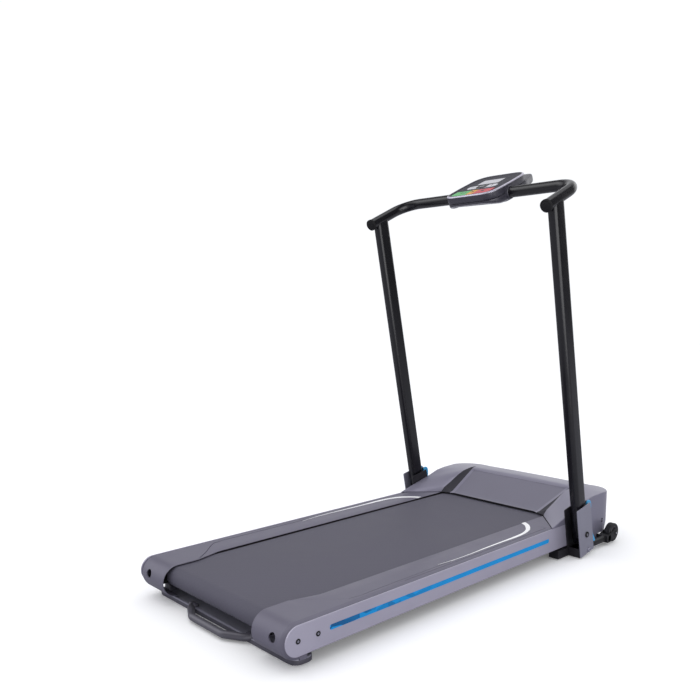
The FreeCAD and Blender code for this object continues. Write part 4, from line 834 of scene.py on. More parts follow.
def bent_tube(name, path, tube_radius, bend_radius, made_of):
    return grown(name, path, bent_tube_tree,
                 {"Bend Radius": bend_radius * MM, "Tube Radius": tube_radius * MM,
                  "Bend Steps": 14, "Sides": 40, "Finish": made_of}, joined=True)


def repeated(name, shape, spots, facings, made_of, bevel=0):
    """Copies of one small shape, which faces +X, at spots that each face their own way."""
    original = link("original", mesh_of("original", shape))
    if bevel:
        edges = original.modifiers.new("Edges", "BEVEL")
        edges.width = bevel * MM
        edges.segments = 2
        settled(original, "original")
    piece = grown(name, spots, repeated_tree,
                  {"Piece": original, "Size": 1.0, "Finish": made_of}, facings=facings)
    bpy.data.objects.remove(original)
    return piece


# ---------------------------------------------------------------- deck: belt, rails, covers


def sizes():
    return bpy.context.scene.treadmill_sizes


def in_mm(name):
    """A size that the user may change, in millimetres."""
    return getattr(sizes(), name) / MM


def walking_belt():
    """The endless belt round both rollers, with its texture laid along it."""
    bottom, top = low("walking_belt"), high("walking_belt")
    outer = (top.z - bottom.z) / 2
    inner = high("front_roller").z - middle("front_roller").z + 0.05
    centre_z = (top.z + bottom.z) / 2
    rear, front = bottom.y + outer, top.y - outer
    rows, runs, run = [], [], 0.0
    flats, steps = 24, 20
    for spots in ([(rear + (front - rear) * k / flats, 90) for k in range(flats)],
                  [(front, 90 - 180 * k / steps) for k in range(steps)],
                  [(front - (front - rear) * k / flats, -90) for k in range(flats)],
                  [(rear, -90 - 180 * k / steps) for k in range(steps)]):
        for y, degrees in spots:
            turn = math.radians(degrees)
            edge = [(y + radius * math.cos(turn), centre_z + radius * math.sin(turn))
                    for radius in (outer, inner)]
            rows.append([(x, *edge[k]) for x, k in ((bottom.x, 0), (0, 0), (top.x, 0),
                                                    (top.x, 1), (0, 1), (bottom.x, 1))])
            if len(rows) > 1:
                run += (Vector(rows[-1][0]) - Vector(rows[-2][0])).length
            runs.append(run)
    solid = Solid().rings(rows, closed=True)
    piece = part("walking_belt_woven", solid, [woven_belting()], "base", "belt",
                 ("walking_belt",), merge=False, sharp=40)
    layer = piece.data.uv_layers.new(name="UVMap")
    runs.append(run + (Vector(rows[0][0]) - Vector(rows[-1][0])).length)
    across_belt = [rows[0][i][0] for i in range(6)] + [rows[0][0][0]]
    for number, polygon in enumerate(piece.data.polygons):
        row, column = divmod(number, 6)
        for corner, (i, j) in zip(polygon.loop_indices, ((0, 0), (0, 1), (1, 1), (1, 0))):
            layer.data[corner].uv = (across_belt[column + j] * MM, runs[row + i] * MM)
    return piece


INNER_EDGE = [(100, 185), (175, 205)]
STEP_LINE = [(100, 186), (115, 196), (149, 224), (184, 258), (200, 270), (237, 275),
             (300, 273), (874, 270), (919, 257), (944, 237), (971, 207)]
RAIL_ROWS = [50, 62, 80, 98, 101, 107, 115, 125, 137, 149, 160, 172, 184, 192, 200, 210, 222,
             237, 260, 300, 340, 360, 368, 420, 480, 540, 600, 660, 720, 780, 830, 860, 874,
             885, 897, 908, 919, 928, 937, 944, 953, 962, 968, 972, 985, 1010, 1040]
NOSE_ROUND = 40


def rail_section(y):
    """Across the rail at a distance from its tip: pairs of (x, height over the top)."""
    inner = at(INNER_EDGE, y)
    groove, depth = in_mm("groove_width") / 2, in_mm("groove_depth")
    amount = at([(100, 0), (108, 1), (962, 1), (971, 0)], y)
    line = max(at(STEP_LINE, y), inner + 4) if 100 <= y <= 971 else inner + 4
    sunk, cut = -in_mm("zone_drop") * amount, -(in_mm("zone_drop") + depth) * amount
    fine = at([(350, 0), (368, 1), (955, 1), (968, 0)], y)
    fall = -in_mm("edge_drop")
    return [(inner, -1.6), (inner + 0.5, -0.5 + sunk), (inner + 1.6, sunk),
            ((inner + 1.6 + line - groove) / 2, sunk), (line - groove, sunk),
            (line - groove * 0.4, cut), (line + groove * 0.3, cut), (line + groove, 0),
            ((line + groove + 281) / 2, 0), (281, 0), (281.8, -1.3 * fine),
            (282.6, -1.3 * fine), (283.4, -0.2), (288, fall * 0.3), (292.5, fall * 0.75),
            (295.2, fall * 1.3), (296.4, fall * 1.9), (RAIL_OUTER, fall * 2.6),
            (RAIL_OUTER, -NOSE_ROUND)]


def foot_rail():
    """The moulded step: a sheet over its top and round its nose, with a thickness."""
    rows = []
    nose_y, nose_z = along(NOSE_ROUND), DECK_TOP - NOSE_ROUND
    for k in range(21):
        turn = math.pi * (20 - k) / 20
        reach = [(x, NOSE_ROUND + h) for x, h in rail_section(0)]
        rows.append([(x, nose_y - radius * math.sin(turn), nose_z + radius * math.cos(turn))
                     for x, radius in reach])
    for y in RAIL_ROWS + [RAIL_END - TIP]:
        rows.append([(x, along(y), DECK_TOP + h) for x, h in rail_section(y)])
    return Solid().rings(rows, round_loops=False, ends=False)


def rail_skirt():
    """The rail's outer wall below its middle, behind the side cover."""
    base, cover = low("foot_rail_right").z, low("side_cover_right").z
    middle_z = DECK_TOP - NOSE_ROUND + 1
    outline = [(along(NOSE_ROUND), middle_z), (along(NOSE_ROUND), base), (along(60), base),
               (along(60), cover), (RAIL_END, cover), (RAIL_END, middle_z)]
    return Solid().prism(outline, RAIL_OUTER - 3, RAIL_OUTER - 0.1)


HIGHLIGHT_OUTER = [(265, 504), (271, 557), (273, 619), (272, 688), (272, 758), (274, 830),
               (270, 874), (259, 914), (237, 945), (220, 959), (207, 966)]
HIGHLIGHT_INNER = [(265, 504), (270, 559), (271, 622), (268, 693), (267, 766), (265, 836),
               (261, 876), (249, 908), (229, 934), (217, 944), (206, 950)]


def rail_highlight_strip():
    """The bright tapering strip let into the rail's front half: a painted highlight for the
    light on the step line's bevel.
    """
    outer, inner = curve_through(HIGHLIGHT_OUTER), curve_through(HIGHLIGHT_INNER)
    solid = Solid()
    for level in (DECK_TOP - 2.5, DECK_TOP + 0.35):
        solid.corners += [Vector((x, along(y), level)) for x, y in outer + inner]
    count = len(outer)
    for i in range(count - 1):
        a, b, c, d = i, i + 1, count + i + 1, count + i
        up = 2 * count
        solid.face([a + up, b + up, c + up, d + up])
        solid.face([d, c, b, a])
        solid.face([a, b, b + up, a + up])
        solid.face([c, d, d + up, c + up])
    end = count - 1
    solid.face([end, count + end, 3 * count + end, 2 * count + end])
    return solid


def side_cover():
    """The flat painted plate on the deck's side, with its half-round rear end."""
    bottom, top = low("side_cover_right"), high("side_cover_right")
    radius = (top.z - bottom.z) / 2
    centre_y, centre_z = bottom.y + radius, (top.z + bottom.z) / 2
    outline = [(centre_y - radius * math.sin(math.pi * k / 24),
                centre_z + radius * math.cos(math.pi * k / 24)) for k in range(25)]
    outline += [(top.y, bottom.z), (top.y, top.z)]
    return Solid().prism(outline, bottom.x, top.x)


def side_stripe():
    """The long thin film on the side cover, round at both ends."""
    half = in_mm("stripe_height") / 2
    centre = middle("side_cover_right").z + 3
    outline = rounded([(along(119), centre - half), (along(950), centre - half),
                       (along(950), centre + half), (along(119), centre + half)], half * 0.8)
    return Solid().prism(outline, HALF, HALF + 0.25)


def for_side(side, solid):
    """The piece as made for the right, or its mirror image for the left."""
    return solid if side == "right" else solid.mirrored()


def both(name, maker, made_of, slot, stands_for=None, **more):
    """The right-hand piece and its mirror image on the left, both on the deck."""
    for side in ("right", "left"):
        nodes = (f"{stands_for}_{side}",) if stands_for else ()
        part(f"{name}_{side}", for_side(side, maker()), made_of, "base", slot, nodes, **more)


def adjuster_hole(side):
    """The opening in the nose over the belt's tension bolt."""
    spot = middle("tension_bolts")
    x = FOOT_X * side
    return Solid().prism([(x + 11.2 * math.cos(k * math.pi / 12),
                           spot.z + 10.6 * math.sin(k * math.pi / 12)) for k in range(24)],
                         along(-3), along(30), axis="y")


def foot_rails():
    for side, sign in (("right", 1), ("left", -1)):
        part(f"foot_rail_moulding_{side}", for_side(side, foot_rail()), [grained_abs()],
             "base", "foot_rail_plastic", (f"foot_rail_{side}",), wall=2.6,
             holes=[adjuster_hole(sign)], sharp=38)
    both("foot_rail_skirt", rail_skirt, [grained_abs()], "foot_rail_plastic")
    # painted highlight: the near-white strip along each rail's step line
    both("foot_rail_inlay", rail_highlight_strip, [painted_highlight_trim()], "cover_silver", sharp=30)


def side_covers():
    both("side_cover_plate", side_cover, [silver_paint_on_abs()], "cover_silver",
         "side_cover", bevel=0.9, segments=3, sharp=50)
    both("side_stripe", side_stripe, [stripe_film()], "lever_blue", bevel=0.1, segments=1)


def rear_bar():
    """The tray under the rear end: a low plate with a raised rim, risers and bosses."""
    bottom, top = low("rear_base_bar"), high("rear_base_bar")
    plate_top, floor = 16, bottom.z
    outline = rounded([(bottom.x, bottom.y), (top.x, bottom.y), (top.x, top.y),
                       (bottom.x, top.y)], [30, 30, 25, 25], 8)
    levels = ((0.0, floor), (0.0, plate_top - 3), (0.8, plate_top - 1), (2.6, plate_top),
              (5.0, plate_top), (6.2, plate_top - 1.2), (7.0, plate_top - 1.4))
    solid = Solid().stack(outline, levels)
    count = len(outline)
    # painted light: the rim, the plate's top and its underside take the paler bracket enamel, a
    # lit copy over the charcoal sides that stands in for light in the shade under the belt
    solid.finishes[count:] = [1] * (len(solid.finishes) - count)
    for side in (-1, 1):
        x, leg = FOOT_X * side, HANDLE_X * side
        solid.prism(rounded([(x - 15, bottom.y + 13), (x + 15, bottom.y + 13),
                             (x + 15, top.y - 14), (x - 15, top.y - 14)], 3),
                    plate_top - 3, top.z - 0.2, axis="z")
        boss = rounded([(leg - 14, bottom.y + 0.3), (leg + 14, bottom.y + 0.3),
                        (leg + 14, bottom.y + 14), (leg - 14, bottom.y + 14)], 4)
        solid.stack(boss, ((0, plate_top - 4), (0, 20), (1, 22), (3, 23)))
    return part("rear_base_tray", solid, [powder_coat_grey(), satin_enamel_grey()], "base",
                "steel_black", ("rear_base_bar",), sharp=35)


def lift_handle():
    """The bent round bar that the deck is lifted by."""
    bottom, top = low("lift_handle"), high("lift_handle")
    z, y = (bottom.z + top.z) / 2, bottom.y + 8
    path = [(-HANDLE_X, top.y + 3, z), (-118, top.y - 2, z), (-66, y, z), (66, y, z),
            (118, top.y - 2, z), (HANDLE_X, top.y + 3, z)]
    piece = bent_tube("lift_handle_bar", path, 9, 30, satin_lacquer_grey())
    return seated(piece, "base", ("lift_handle",))


# ---------------------------------------------------------------- hood


RIDGE_RISE = [(0, 1), (16, 14), (53, 29), (93, 47), (123, 57), (160, 61.5), (186, 62)]
SHOULDER_RISE = [(0, 1), (44, 13.3), (96, 26), (149, 39.2), (182, 50), (223, 55),
                 (250, 56), (286, 57)]
# the joint with the rails, where the hood begins, and the centre and radius of its corners
JOINT_Y, ARC_X, HOOD_CORNER, HOOD_FRONT = 1067, 205, 95, 1348
ARC_START = HOOD_FRONT - HOOD_CORNER
HOOD_HALF = ARC_X + HOOD_CORNER
CROWN_RISE = 62
WINDOW = {"left": -138, "right": -75, "bottom": 61, "top": 91, "rear": 1340}
PANEL_REAR, PANEL_CREST = 1083, 1238
BAND_SHARES = (0, 0.12, 0.25, 0.4, 0.55, 0.7, 0.85, 0.95, 1)
ROUND_TURNS = (22, 45, 68, 90)
BAND_ROWS = (0, 0.03, 0.086, 0.12, 0.154, 0.22, 0.285, 0.336, 0.42, 0.5, 0.58, 0.65, 0.72,
             0.78, 0.83, 0.838, 0.874, 0.92, 0.96, 1)
PANEL_EDGE = 0.83


def band_height(share, ahead):
    """The hood's height over the deck's top, ahead of the joint with the rail."""
    return at(RIDGE_RISE, ahead) * (1 - share) + at(SHOULDER_RISE, ahead) * share


def band_steps(edge_round, drop_limit):
    """Distances out across the band, and how far its round edge falls at each."""
    flat_part = HOOD_CORNER - edge_round
    steps = [(flat_part * share, 0.0) for share in BAND_SHARES]
    for turn in ROUND_TURNS:
        angle = math.radians(turn)
        steps.append((flat_part + edge_round * math.sin(angle),
                      min(edge_round, drop_limit) * (1 - math.cos(angle))))
    return steps


def front_fall(reach):
    """How far the crown falls towards the front."""
    return 12 * min(1, reach / 82) ** 1.7


def hood_top():
    """The right half of the hood's top: band, panel, front and round corner."""
    solid = Solid()
    side_round, front_round = in_mm("hood_side_round"), in_mm("hood_front_round")
    rim = []
    rows = []
    for share in BAND_ROWS:
        row = []
        for reach, _ in band_steps(side_round, 99):
            t = reach / HOOD_CORNER
            start = JOINT_Y - 100 * t
            ahead = (ARC_START - start) * share
            rise = band_height(t, ahead)
            row.append((ARC_X + reach, start + ahead, rise))
        drops = [drop for _, drop in band_steps(side_round, 0.4 + row[-1][2] * 0.5)]
        rows.append([(x, along(y), DECK_TOP + rise - drop)
                     for (x, y, rise), drop in zip(row, drops)])
        rim.append(rows[-1][-1])
    solid.rings(rows, round_loops=False, ends=False)

    panel_rows = []
    for share in BAND_ROWS[2:]:
        y = JOINT_Y + (ARC_START - JOINT_Y) * share
        floor = max(3.0, (y - PANEL_REAR) * math.tan(math.radians(22)))
        ridge = band_height(0, y - JOINT_Y)
        half = at([(PANEL_REAR, 174), (1160, 186), (PANEL_CREST, 198), (ARC_START, 200)], y)
        sunk = 1.4 if share <= PANEL_EDGE else 0
        row = []
        for k in range(5):
            x = (half - 11) * k / 4
            crown = CROWN_RISE + 1.5 * (1 - (x / ARC_X) ** 2)
            row.append((x, along(y), DECK_TOP + min(floor, crown) - sunk))
        low_side = min(floor, ridge)
        for k in (0, 0.15, 0.35, 0.55, 0.75, 0.9, 1.0):
            row.append((half + (ARC_X - half) * k, along(y),
                        DECK_TOP + low_side + (ridge - low_side) * k ** 1.25))
        panel_rows.append(row)
    edge = BAND_ROWS.index(PANEL_EDGE) - 1
    # painted shade: the panel's rows take the darker copy of the hood's lacquer
    solid.rings([row[:5] for row in panel_rows[:edge + 1]], round_loops=False, ends=False,
                finish=1)
    solid.rings([row[:5] for row in panel_rows[edge:]], round_loops=False, ends=False)
    corner = [(x, along(JOINT_Y + (ARC_X - x) / 3),
               DECK_TOP + 0.4 + 1.2 * min(1, (ARC_X - x) / 30))
              for x, _, _ in panel_rows[0][4:]]
    strips = [corner] + [row[4:] for row in panel_rows]
    solid.rings([row[:2] for row in strips], round_loops=False, ends=False)
    # painted shade: the recess's side walls take the near-black copy of the lacquer
    solid.rings([row[1:] for row in strips], round_loops=False, ends=False, finish=2)

    crest_row = panel_rows[-1]
    front_rows = []
    for reach, drop in band_steps(front_round, 99):
        front_rows.append([(x, y + reach, z - front_fall(reach) - drop)
                           for x, y, z in crest_row])
    solid.rings(front_rows, round_loops=False, ends=False)

    fan = []
    for k in range(13):
        turn = math.radians(90 * k / 12)
        edge_round = side_round + (front_round - side_round) * k / 12
        row = []
        for reach, drop in band_steps(edge_round, 99):
            t = reach / HOOD_CORNER
            side_z = band_height(t, ARC_START - (JOINT_Y - 100 * t))
            front_z = CROWN_RISE - front_fall(reach)
            z = side_z + (front_z - side_z) * k / 12 - drop
            row.append((ARC_X + reach * math.cos(turn),
                        along(ARC_START) + reach * math.sin(turn), DECK_TOP + z))
        fan.append(row)
        rim.append(row[-1])
    solid.rings(fan, round_loops=False, ends=False)
    rim.extend(reversed(front_rows[-1]))
    return solid, rim


def hood_wall(solid, rim):
    """The hood's upright wall below its rim, stepped up over the stand at the front."""
    belt_line = DECK_TOP - 1.3
    solid.rings([[(x, y, belt_line) for x, y, z in rim], rim], round_loops=False, ends=False)
    outline = [(HOOD_HALF, y, 0) for y in (JOINT_Y, 1113, 1222, ARC_START)]
    outline += [(ARC_X + HOOD_CORNER * math.cos(math.radians(a)),
                 ARC_START + HOOD_CORNER * math.sin(math.radians(a)), a / 90)
                for a in range(10, 100, 10)]
    outline += [(x, HOOD_FRONT, 1) for x in (170, -WINDOW["left"], -WINDOW["right"], 38, 0)]
    bottoms = [77, 17] + [32] * (len(outline) - 3)
    for (x0, y0, t0), (x1, y1, t1), bottom in zip(outline, outline[1:], bottoms):
        levels = []
        for x, y, t in ((x0, y0, t0), (x1, y1, t1)):
            out = Vector((x - ARC_X, y - ARC_START, 0)) if t not in (0, 1) else Vector((0, t, 0))
            out = out.normalized() if out.length else out
            tucked = Vector((x, along(y), bottom)) - out * 16 * t
            heights = sorted({max(bottom, 57), max(bottom, WINDOW["bottom"]), WINDOW["top"],
                              belt_line})
            levels.append([tucked] + [Vector((x, along(y), z)) for z in heights])
        solid.rings(levels, round_loops=False, ends=False)


def hood():
    """The whole hood: both halves, a wall's thickness, and a window left over the inlet."""
    half, rim = hood_top()
    hood_wall(half, rim)
    other = half.mirrored()
    count = len(half.corners)
    half.corners += other.corners
    for face, index in zip(other.faces, other.finishes):
        middle_of = sum((other.corners[i] for i in face), Vector()) / len(face)
        if not (WINDOW["left"] < middle_of.x < WINDOW["right"]
                and WINDOW["bottom"] < middle_of.z < WINDOW["top"]
                and middle_of.y > along(WINDOW["rear"])):
            half.face([i + count for i in face], index)
    part("motor_hood_shell", half, [metallic_paint_on_hood(), hood_panel_paint(),
                                    hood_recess_paint()], "base", "hood_plastic",
         ("motor_hood",), wall=2.8, sharp=28)


def hood_joint_painted_shade():
    """A thin black rubber lip along the joint between the hood, the belt and the steps: painted
    shade, standing in for the shadow in that gap.
    """
    outline = [(-ARC_X, 1065.5), (-172, 1079), (172, 1079), (ARC_X, 1065.5), (ARC_X, 1070),
               (170, 1083.5), (-170, 1083.5), (-ARC_X, 1070)]
    solid = Solid().prism([(x, along(y)) for x, y in outline], DECK_TOP - 0.7,
                          DECK_TOP + 1.3, axis="z")
    for side in (-1, 1):
        loops = []
        for x, y, bottom, top in ((203, 1067, -3, 0.6), (284, 984, -3, 0.5), (297, 970, -9, -4)):
            loops.append([(x * side, along(y + dy), DECK_TOP + z)
                          for dy, z in ((-3, bottom), (1, bottom), (1, top), (-3, top))])
        solid.rings(loops)
    part("hood_edge_seal", solid, [moulded_rubber()], "base", "rubber", sharp=40)


def pan_vents():
    """Louvres in the belly pan, in two blocks."""
    pitch = in_mm("vent_pitch")
    run = pitch * (sizes().vent_count - 1)
    spots = [(side * 120 - run / 2, along(1150), low("motor_pan").z + 0.4) for side in (-1, 1)]
    piece = grown("belly_pan_louvres", spots, louvre_tree,
                  {"Count": sizes().vent_count, "Pitch": pitch * MM, "Length": 55 * MM,
                   "Bar Radius": 1.8 * MM, "Finish": black_abs()})
    seated(piece, "base")


def end_feet():
    """Four soft blocks that the folded deck stands on."""
    bottom, top = low("end_feet"), high("end_feet")
    solid = Solid()
    for side in (-1, 1):
        for z in (bottom.z, top.z - 14):
            outline = rounded([(side * 170 - 13, z), (side * 170 + 13, z),
                               (side * 170 + 13, z + 14), (side * 170 - 13, z + 14)], 4)
            solid.rings([[(x, y, h) for x, h in shrunk(outline, inset)]
                         for inset, y in ((0, along(1342)), (0, top.y - 2), (0.8, top.y - 0.6),
                                          (2.4, top.y), (4.5, top.y), (5.2, top.y - 0.8))])
    part("end_feet_blocks", solid, [moulded_rubber()], "base", "rubber", ("end_feet",),
         sharp=40)


# ---------------------------------------------------------------- mast, levers, stand


PLATE_REAR, PLATE_FRONT, PLATE_TOP, PLATE_BOTTOM = -41, 34, 90, -60
BRACKET_INNER, BRACKET_OUTER, PLATE = 300.3, 344.7, 3


def leaned_outline(outline):
    """An outline in the mast's own frame, as (y, z) on the deck."""
    turn = leaned(LEAN, Vector((0, PIVOT.y, PIVOT.z)))
    return [(turn @ Vector((0, a, b))).yz[:] for a, b in outline]


def upright_plate(rear, front, top, radius):
    """A plate's outline from the bracket's bottom up, leaned with the mast."""
    return leaned_outline(rounded([(rear, PLATE_BOTTOM), (front, PLATE_BOTTOM), (front, top),
                                   (rear, top)], radius))


def bracket_plate():
    """The bracket's outer plate."""
    plate = upright_plate(PLATE_REAR, PLATE_FRONT, PLATE_TOP, 5)
    return Solid().prism(plate, BRACKET_OUTER - PLATE, BRACKET_OUTER)


def bracket_channel():
    """The inner plate, lip, stand-off and foot bar: the dark steel behind the outer plate, dark
    partly as painted shade inside the channel.
    """
    plate = upright_plate(PLATE_REAR, PLATE_FRONT, PLATE_TOP - 4, 4)
    lip = upright_plate(PLATE_REAR, PLATE_REAR + PLATE, PLATE_BOTTOM + 28, 0.5)
    solid = Solid().prism(plate, BRACKET_INNER, BRACKET_INNER + PLATE)
    solid.prism(lip, BRACKET_INNER + 1, BRACKET_OUTER - 3.2)
    rear, front = along(1070), along(1112)
    solid.prism([(rear, 28), (front, 28), (front, 76), (rear, 76)], 272, BRACKET_INNER + 0.5)
    heel = along(997)
    foot = rounded([(heel, 3), (front, 3), (front, 28), (heel, 28)], 3)
    return solid.prism(foot, 272, BRACKET_INNER + PLATE)


def brackets():
    for side in ("right", "left"):
        part(f"mast_bracket_plate_{side}", for_side(side, bracket_plate()),
             [satin_enamel_grey()], "base", "bracket_paint", (f"mast_bracket_{side}",),
             bevel=0.9, segments=3)
        part(f"mast_bracket_channel_{side}", for_side(side, bracket_channel()),
             [satin_enamel_dark()], "base", "steel_black", bevel=1.2)


def upright():
    """A leaning tube with round corners, capped low down and met by the handlebar on top."""
    section = rounded([(-15, -25), (15, -25), (15, 25), (-15, 25)], 14, 10)
    solid = Solid().stack(section, ((1.0, -24), (0, -23), (0, 120), (0, 500), (0, 959)))
    return solid.moved(leaned(LEAN, Vector((MAST_X, PIVOT.y, PIVOT.z))))


def handlebar_spot(x, back):
    """A place on the handlebar's arms: back from its front corner, down the arm."""
    return Vector((x, CONSOLE.y - back * math.cos(ARM_RISE),
                   CONSOLE.z - back * math.sin(ARM_RISE)))


ARM_LENGTH, BAR_RADIUS = 176, 16


def handlebar_cap():
    """A domed plug with a ring round it, in the open end of an arm."""
    profile = [(0, 6.5), (6, 6.2), (11, 5.2), (12.5, 4.2), (13.5, 4.6), (15.8, 4.2),
               (17.2, 2.8), (17.5, 1.2), (17.5, -3), (16.2, -4), (12, -4), (0, -4)]
    solid = Solid().turned(profile, (0, 0, 0), closed=False)
    axis = Matrix.Rotation(math.radians(-90), 4, "Z")
    return solid.moved(leaned(ARM_RISE, handlebar_spot(MAST_X, ARM_LENGTH)) @ axis)


def mast():
    enamel = gloss_enamel_black()
    for side in ("right", "left"):
        part(f"upright_tube_{side}", for_side(side, upright()), [enamel], "mast",
             "mast_paint", (f"upright_{side}",), sharp=50)
        part(f"handlebar_end_cap_{side}", for_side(side, handlebar_cap()),
             [moulded_rubber()], "mast", "rubber", ("handlebar_caps",), sharp=40)
    path = [handlebar_spot(-MAST_X, ARM_LENGTH), handlebar_spot(-MAST_X, 0),
            handlebar_spot(MAST_X, 0), handlebar_spot(MAST_X, ARM_LENGTH)]
    bar = bent_tube("handlebar_tube", path, BAR_RADIUS, 65, enamel)
    seated(bar, "mast", ("handlebar",))


LEVER_BLADE = [(38, 92), (31, 87), (28.5, 77), (30, 66), (34, 50), (35, 32), (35, 12),
               (36, -10), (39, -26), (44, -39), (51, -47), (58.5, -47.5), (58, -38),
               (52, -25), (47, -8), (44.5, 12), (44.5, 34), (46.5, 52), (51, 70), (51, 82),
               (46, 90)]


def lock_lever():
    """A curved blade with two cheeks round its pin, and a tip that flares for the toe."""
    smooth = curve_through(LEVER_BLADE + LEVER_BLADE[:1], 3)[:-1]
    solid = Solid()
    for start, end in ((-13.5, -7.6), (7.6, 13.5)):
        solid.prism(leaned_outline(smooth), MAST_X + start, MAST_X + end)
    web = leaned_outline([spot for spot in smooth if spot.y < 61])
    return solid.prism(web, MAST_X - 8, MAST_X + 8)


def lock_levers():
    for side in ("right", "left"):
        part(f"lock_lever_blade_{side}", for_side(side, lock_lever()), [blue_abs()],
             f"lock_lever_{side}", "lever_blue", (f"lock_lever_{side}",), bevel=1.6,
             segments=3, sharp=45)


def stand_arm():
    """One arm of the stand: its eye, round arm, shroud and the fork round the wheel."""
    x, y, z = MAST_X, STAND_PIN.y, STAND_PIN.z
    wheel_y, wheel_z = WHEEL.y, WHEEL.z
    solid = Solid().turned([(4.2, -11), (10.5, -11), (12, -9.5), (12, 9.5), (10.5, 11),
                            (4.2, 11)], (x, y, z), steps=28)
    solid.tube([(x, y + 8, z), (x, wheel_y - 38, z)], 10, 28)
    shroud = rounded([(wheel_y - 52, z - 11), (wheel_y - 30, z - 11), (wheel_y - 30, z + 12),
                      (wheel_y - 52, z + 11)], 4)
    solid.prism(shroud, x - 16, x + 16)
    cheek = rounded([(wheel_y - 46, z - 10), (wheel_y - 10, z - 2), (wheel_y + 8, z + 1),
                     (wheel_y + 13, z + 11), (wheel_y + 6, wheel_z + 12),
                     (wheel_y - 8, wheel_z + 12), (wheel_y - 46, z + 11)], 6)
    for start in (-16, 13):
        solid.prism(cheek, x + start, x + start + 3)
    axle = (x, wheel_y, wheel_z)
    solid.turned([(4, -18), (6.5, -18), (7.5, -17), (7.5, -16), (4, -16)], axle, steps=20)
    solid.turned([(4, 16), (7.5, 16), (7.5, 17), (6.5, 18), (4, 18)], axle, steps=20)
    return solid.turned([(0, -18.2), (3.9, -18.2), (3.9, 18.2), (0, 18.2)], axle, steps=20,
                        closed=False)


def stand():
    right = stand_arm()
    left = right.mirrored()
    count = len(right.corners)
    right.corners += left.corners
    for face in left.faces:
        right.face([i + count for i in face])
    right.tube([(-MAST_X + 13, WHEEL.y - 36, STAND_PIN.z),
                (MAST_X - 13, WHEEL.y - 36, STAND_PIN.z)], 7, 24)
    part("stand_arms", right, [powder_coat_black()], "stand", "steel_black",
         ("stand_frame",), bevel=0.8, segments=2, sharp=50)


def wheels():
    tyre = [(20.2, -9), (24, -10), (27.4, -9.4), (28.7, -7.6), (29, -5), (28.6, -1.2),
            (28, -0.8), (28, 0.8), (28.6, 1.2), (29, 5), (28.7, 7.6), (27.4, 9.4), (24, 10),
            (20.2, 9)]
    hub = [(4.1, -11.5), (8, -11.5), (9, -10), (9.5, -7), (16, -6.5), (17, -9.5), (19, -10),
           (20.1, -9), (20.1, 9), (19, 10), (17, 9.5), (16, 6.5), (9.5, 7), (9, 10),
           (8, 11.5), (4.1, 11.5)]
    for side, sign in (("right", 1), ("left", -1)):
        spot = Vector((MAST_X * sign, WHEEL.y, WHEEL.z))
        part(f"wheel_tread_{side}", Solid().turned(tyre, spot, 56), [urethane_tread()],
             f"wheel_{side}", "wheel_tyre", (f"wheel_tyre_{side}",), sharp=40)
        part(f"wheel_disc_{side}", Solid().turned(hub, spot, 56), [nylon_hub()],
             f"wheel_{side}", "wheel_hub", (f"wheel_hub_{side}",), sharp=40)
        spokes, ways = [], []
        for face in (-1, 1):
            for k in range(6):
                turn = math.pi * k / 3
                spokes.append(spot + Vector((face * 7.4, 13 * math.cos(turn),
                                             13 * math.sin(turn))))
                ways.append(Vector((face, 0, 0)))
        ends = Solid()
        for face in (-1, 1):
            ends.turned([(0, 18.1 * face), (3.4, 18.1 * face), (3.4, 18.8 * face),
                         (2.4, 19.4 * face), (0, 19.5 * face)], spot, 20, closed=False)
        part(f"wheel_axle_ends_{side}", ends, [zinc_plate()], "stand", "zinc", sharp=40)
        boss = Solid().turned([(0, 0), (2.6, 0), (2.6, 1.6), (1.8, 2.2), (0, 2.2)], (0, 0, 0),
                              12, closed=False)
        studs = repeated(f"wheel_studs_{side}", boss, spokes, ways, nylon_hub())
        seated(studs, f"wheel_{side}")


# ---------------------------------------------------------------- console


def on_console():
    return leaned(CONSOLE_TILT, CONSOLE)


FACE = rounded([(-92, -84), (92, -84), (96, 12), (92, 122), (-92, 122), (-96, 12)],
               [60, 60, 200, 60, 60, 200], 9)
BODY = rounded([(-91, -83), (91, -83), (95, 12), (91, 96), (62, 184), (-62, 184), (-91, 96),
                (-95, 12)], [59, 59, 200, 60, 34, 34, 60, 200], 8)
RING_BOTTOM, RING_TOP = 5, 28
PANEL_TOP = 26
WHITE_KEY = "#D3D3D9"


def belly(v):
    """How low the console's underside lies: thin by the user, full under the bar."""
    share = min(max((v + 84) / 66, 0), 1)
    return -1 - 19 * share * (2 - share)


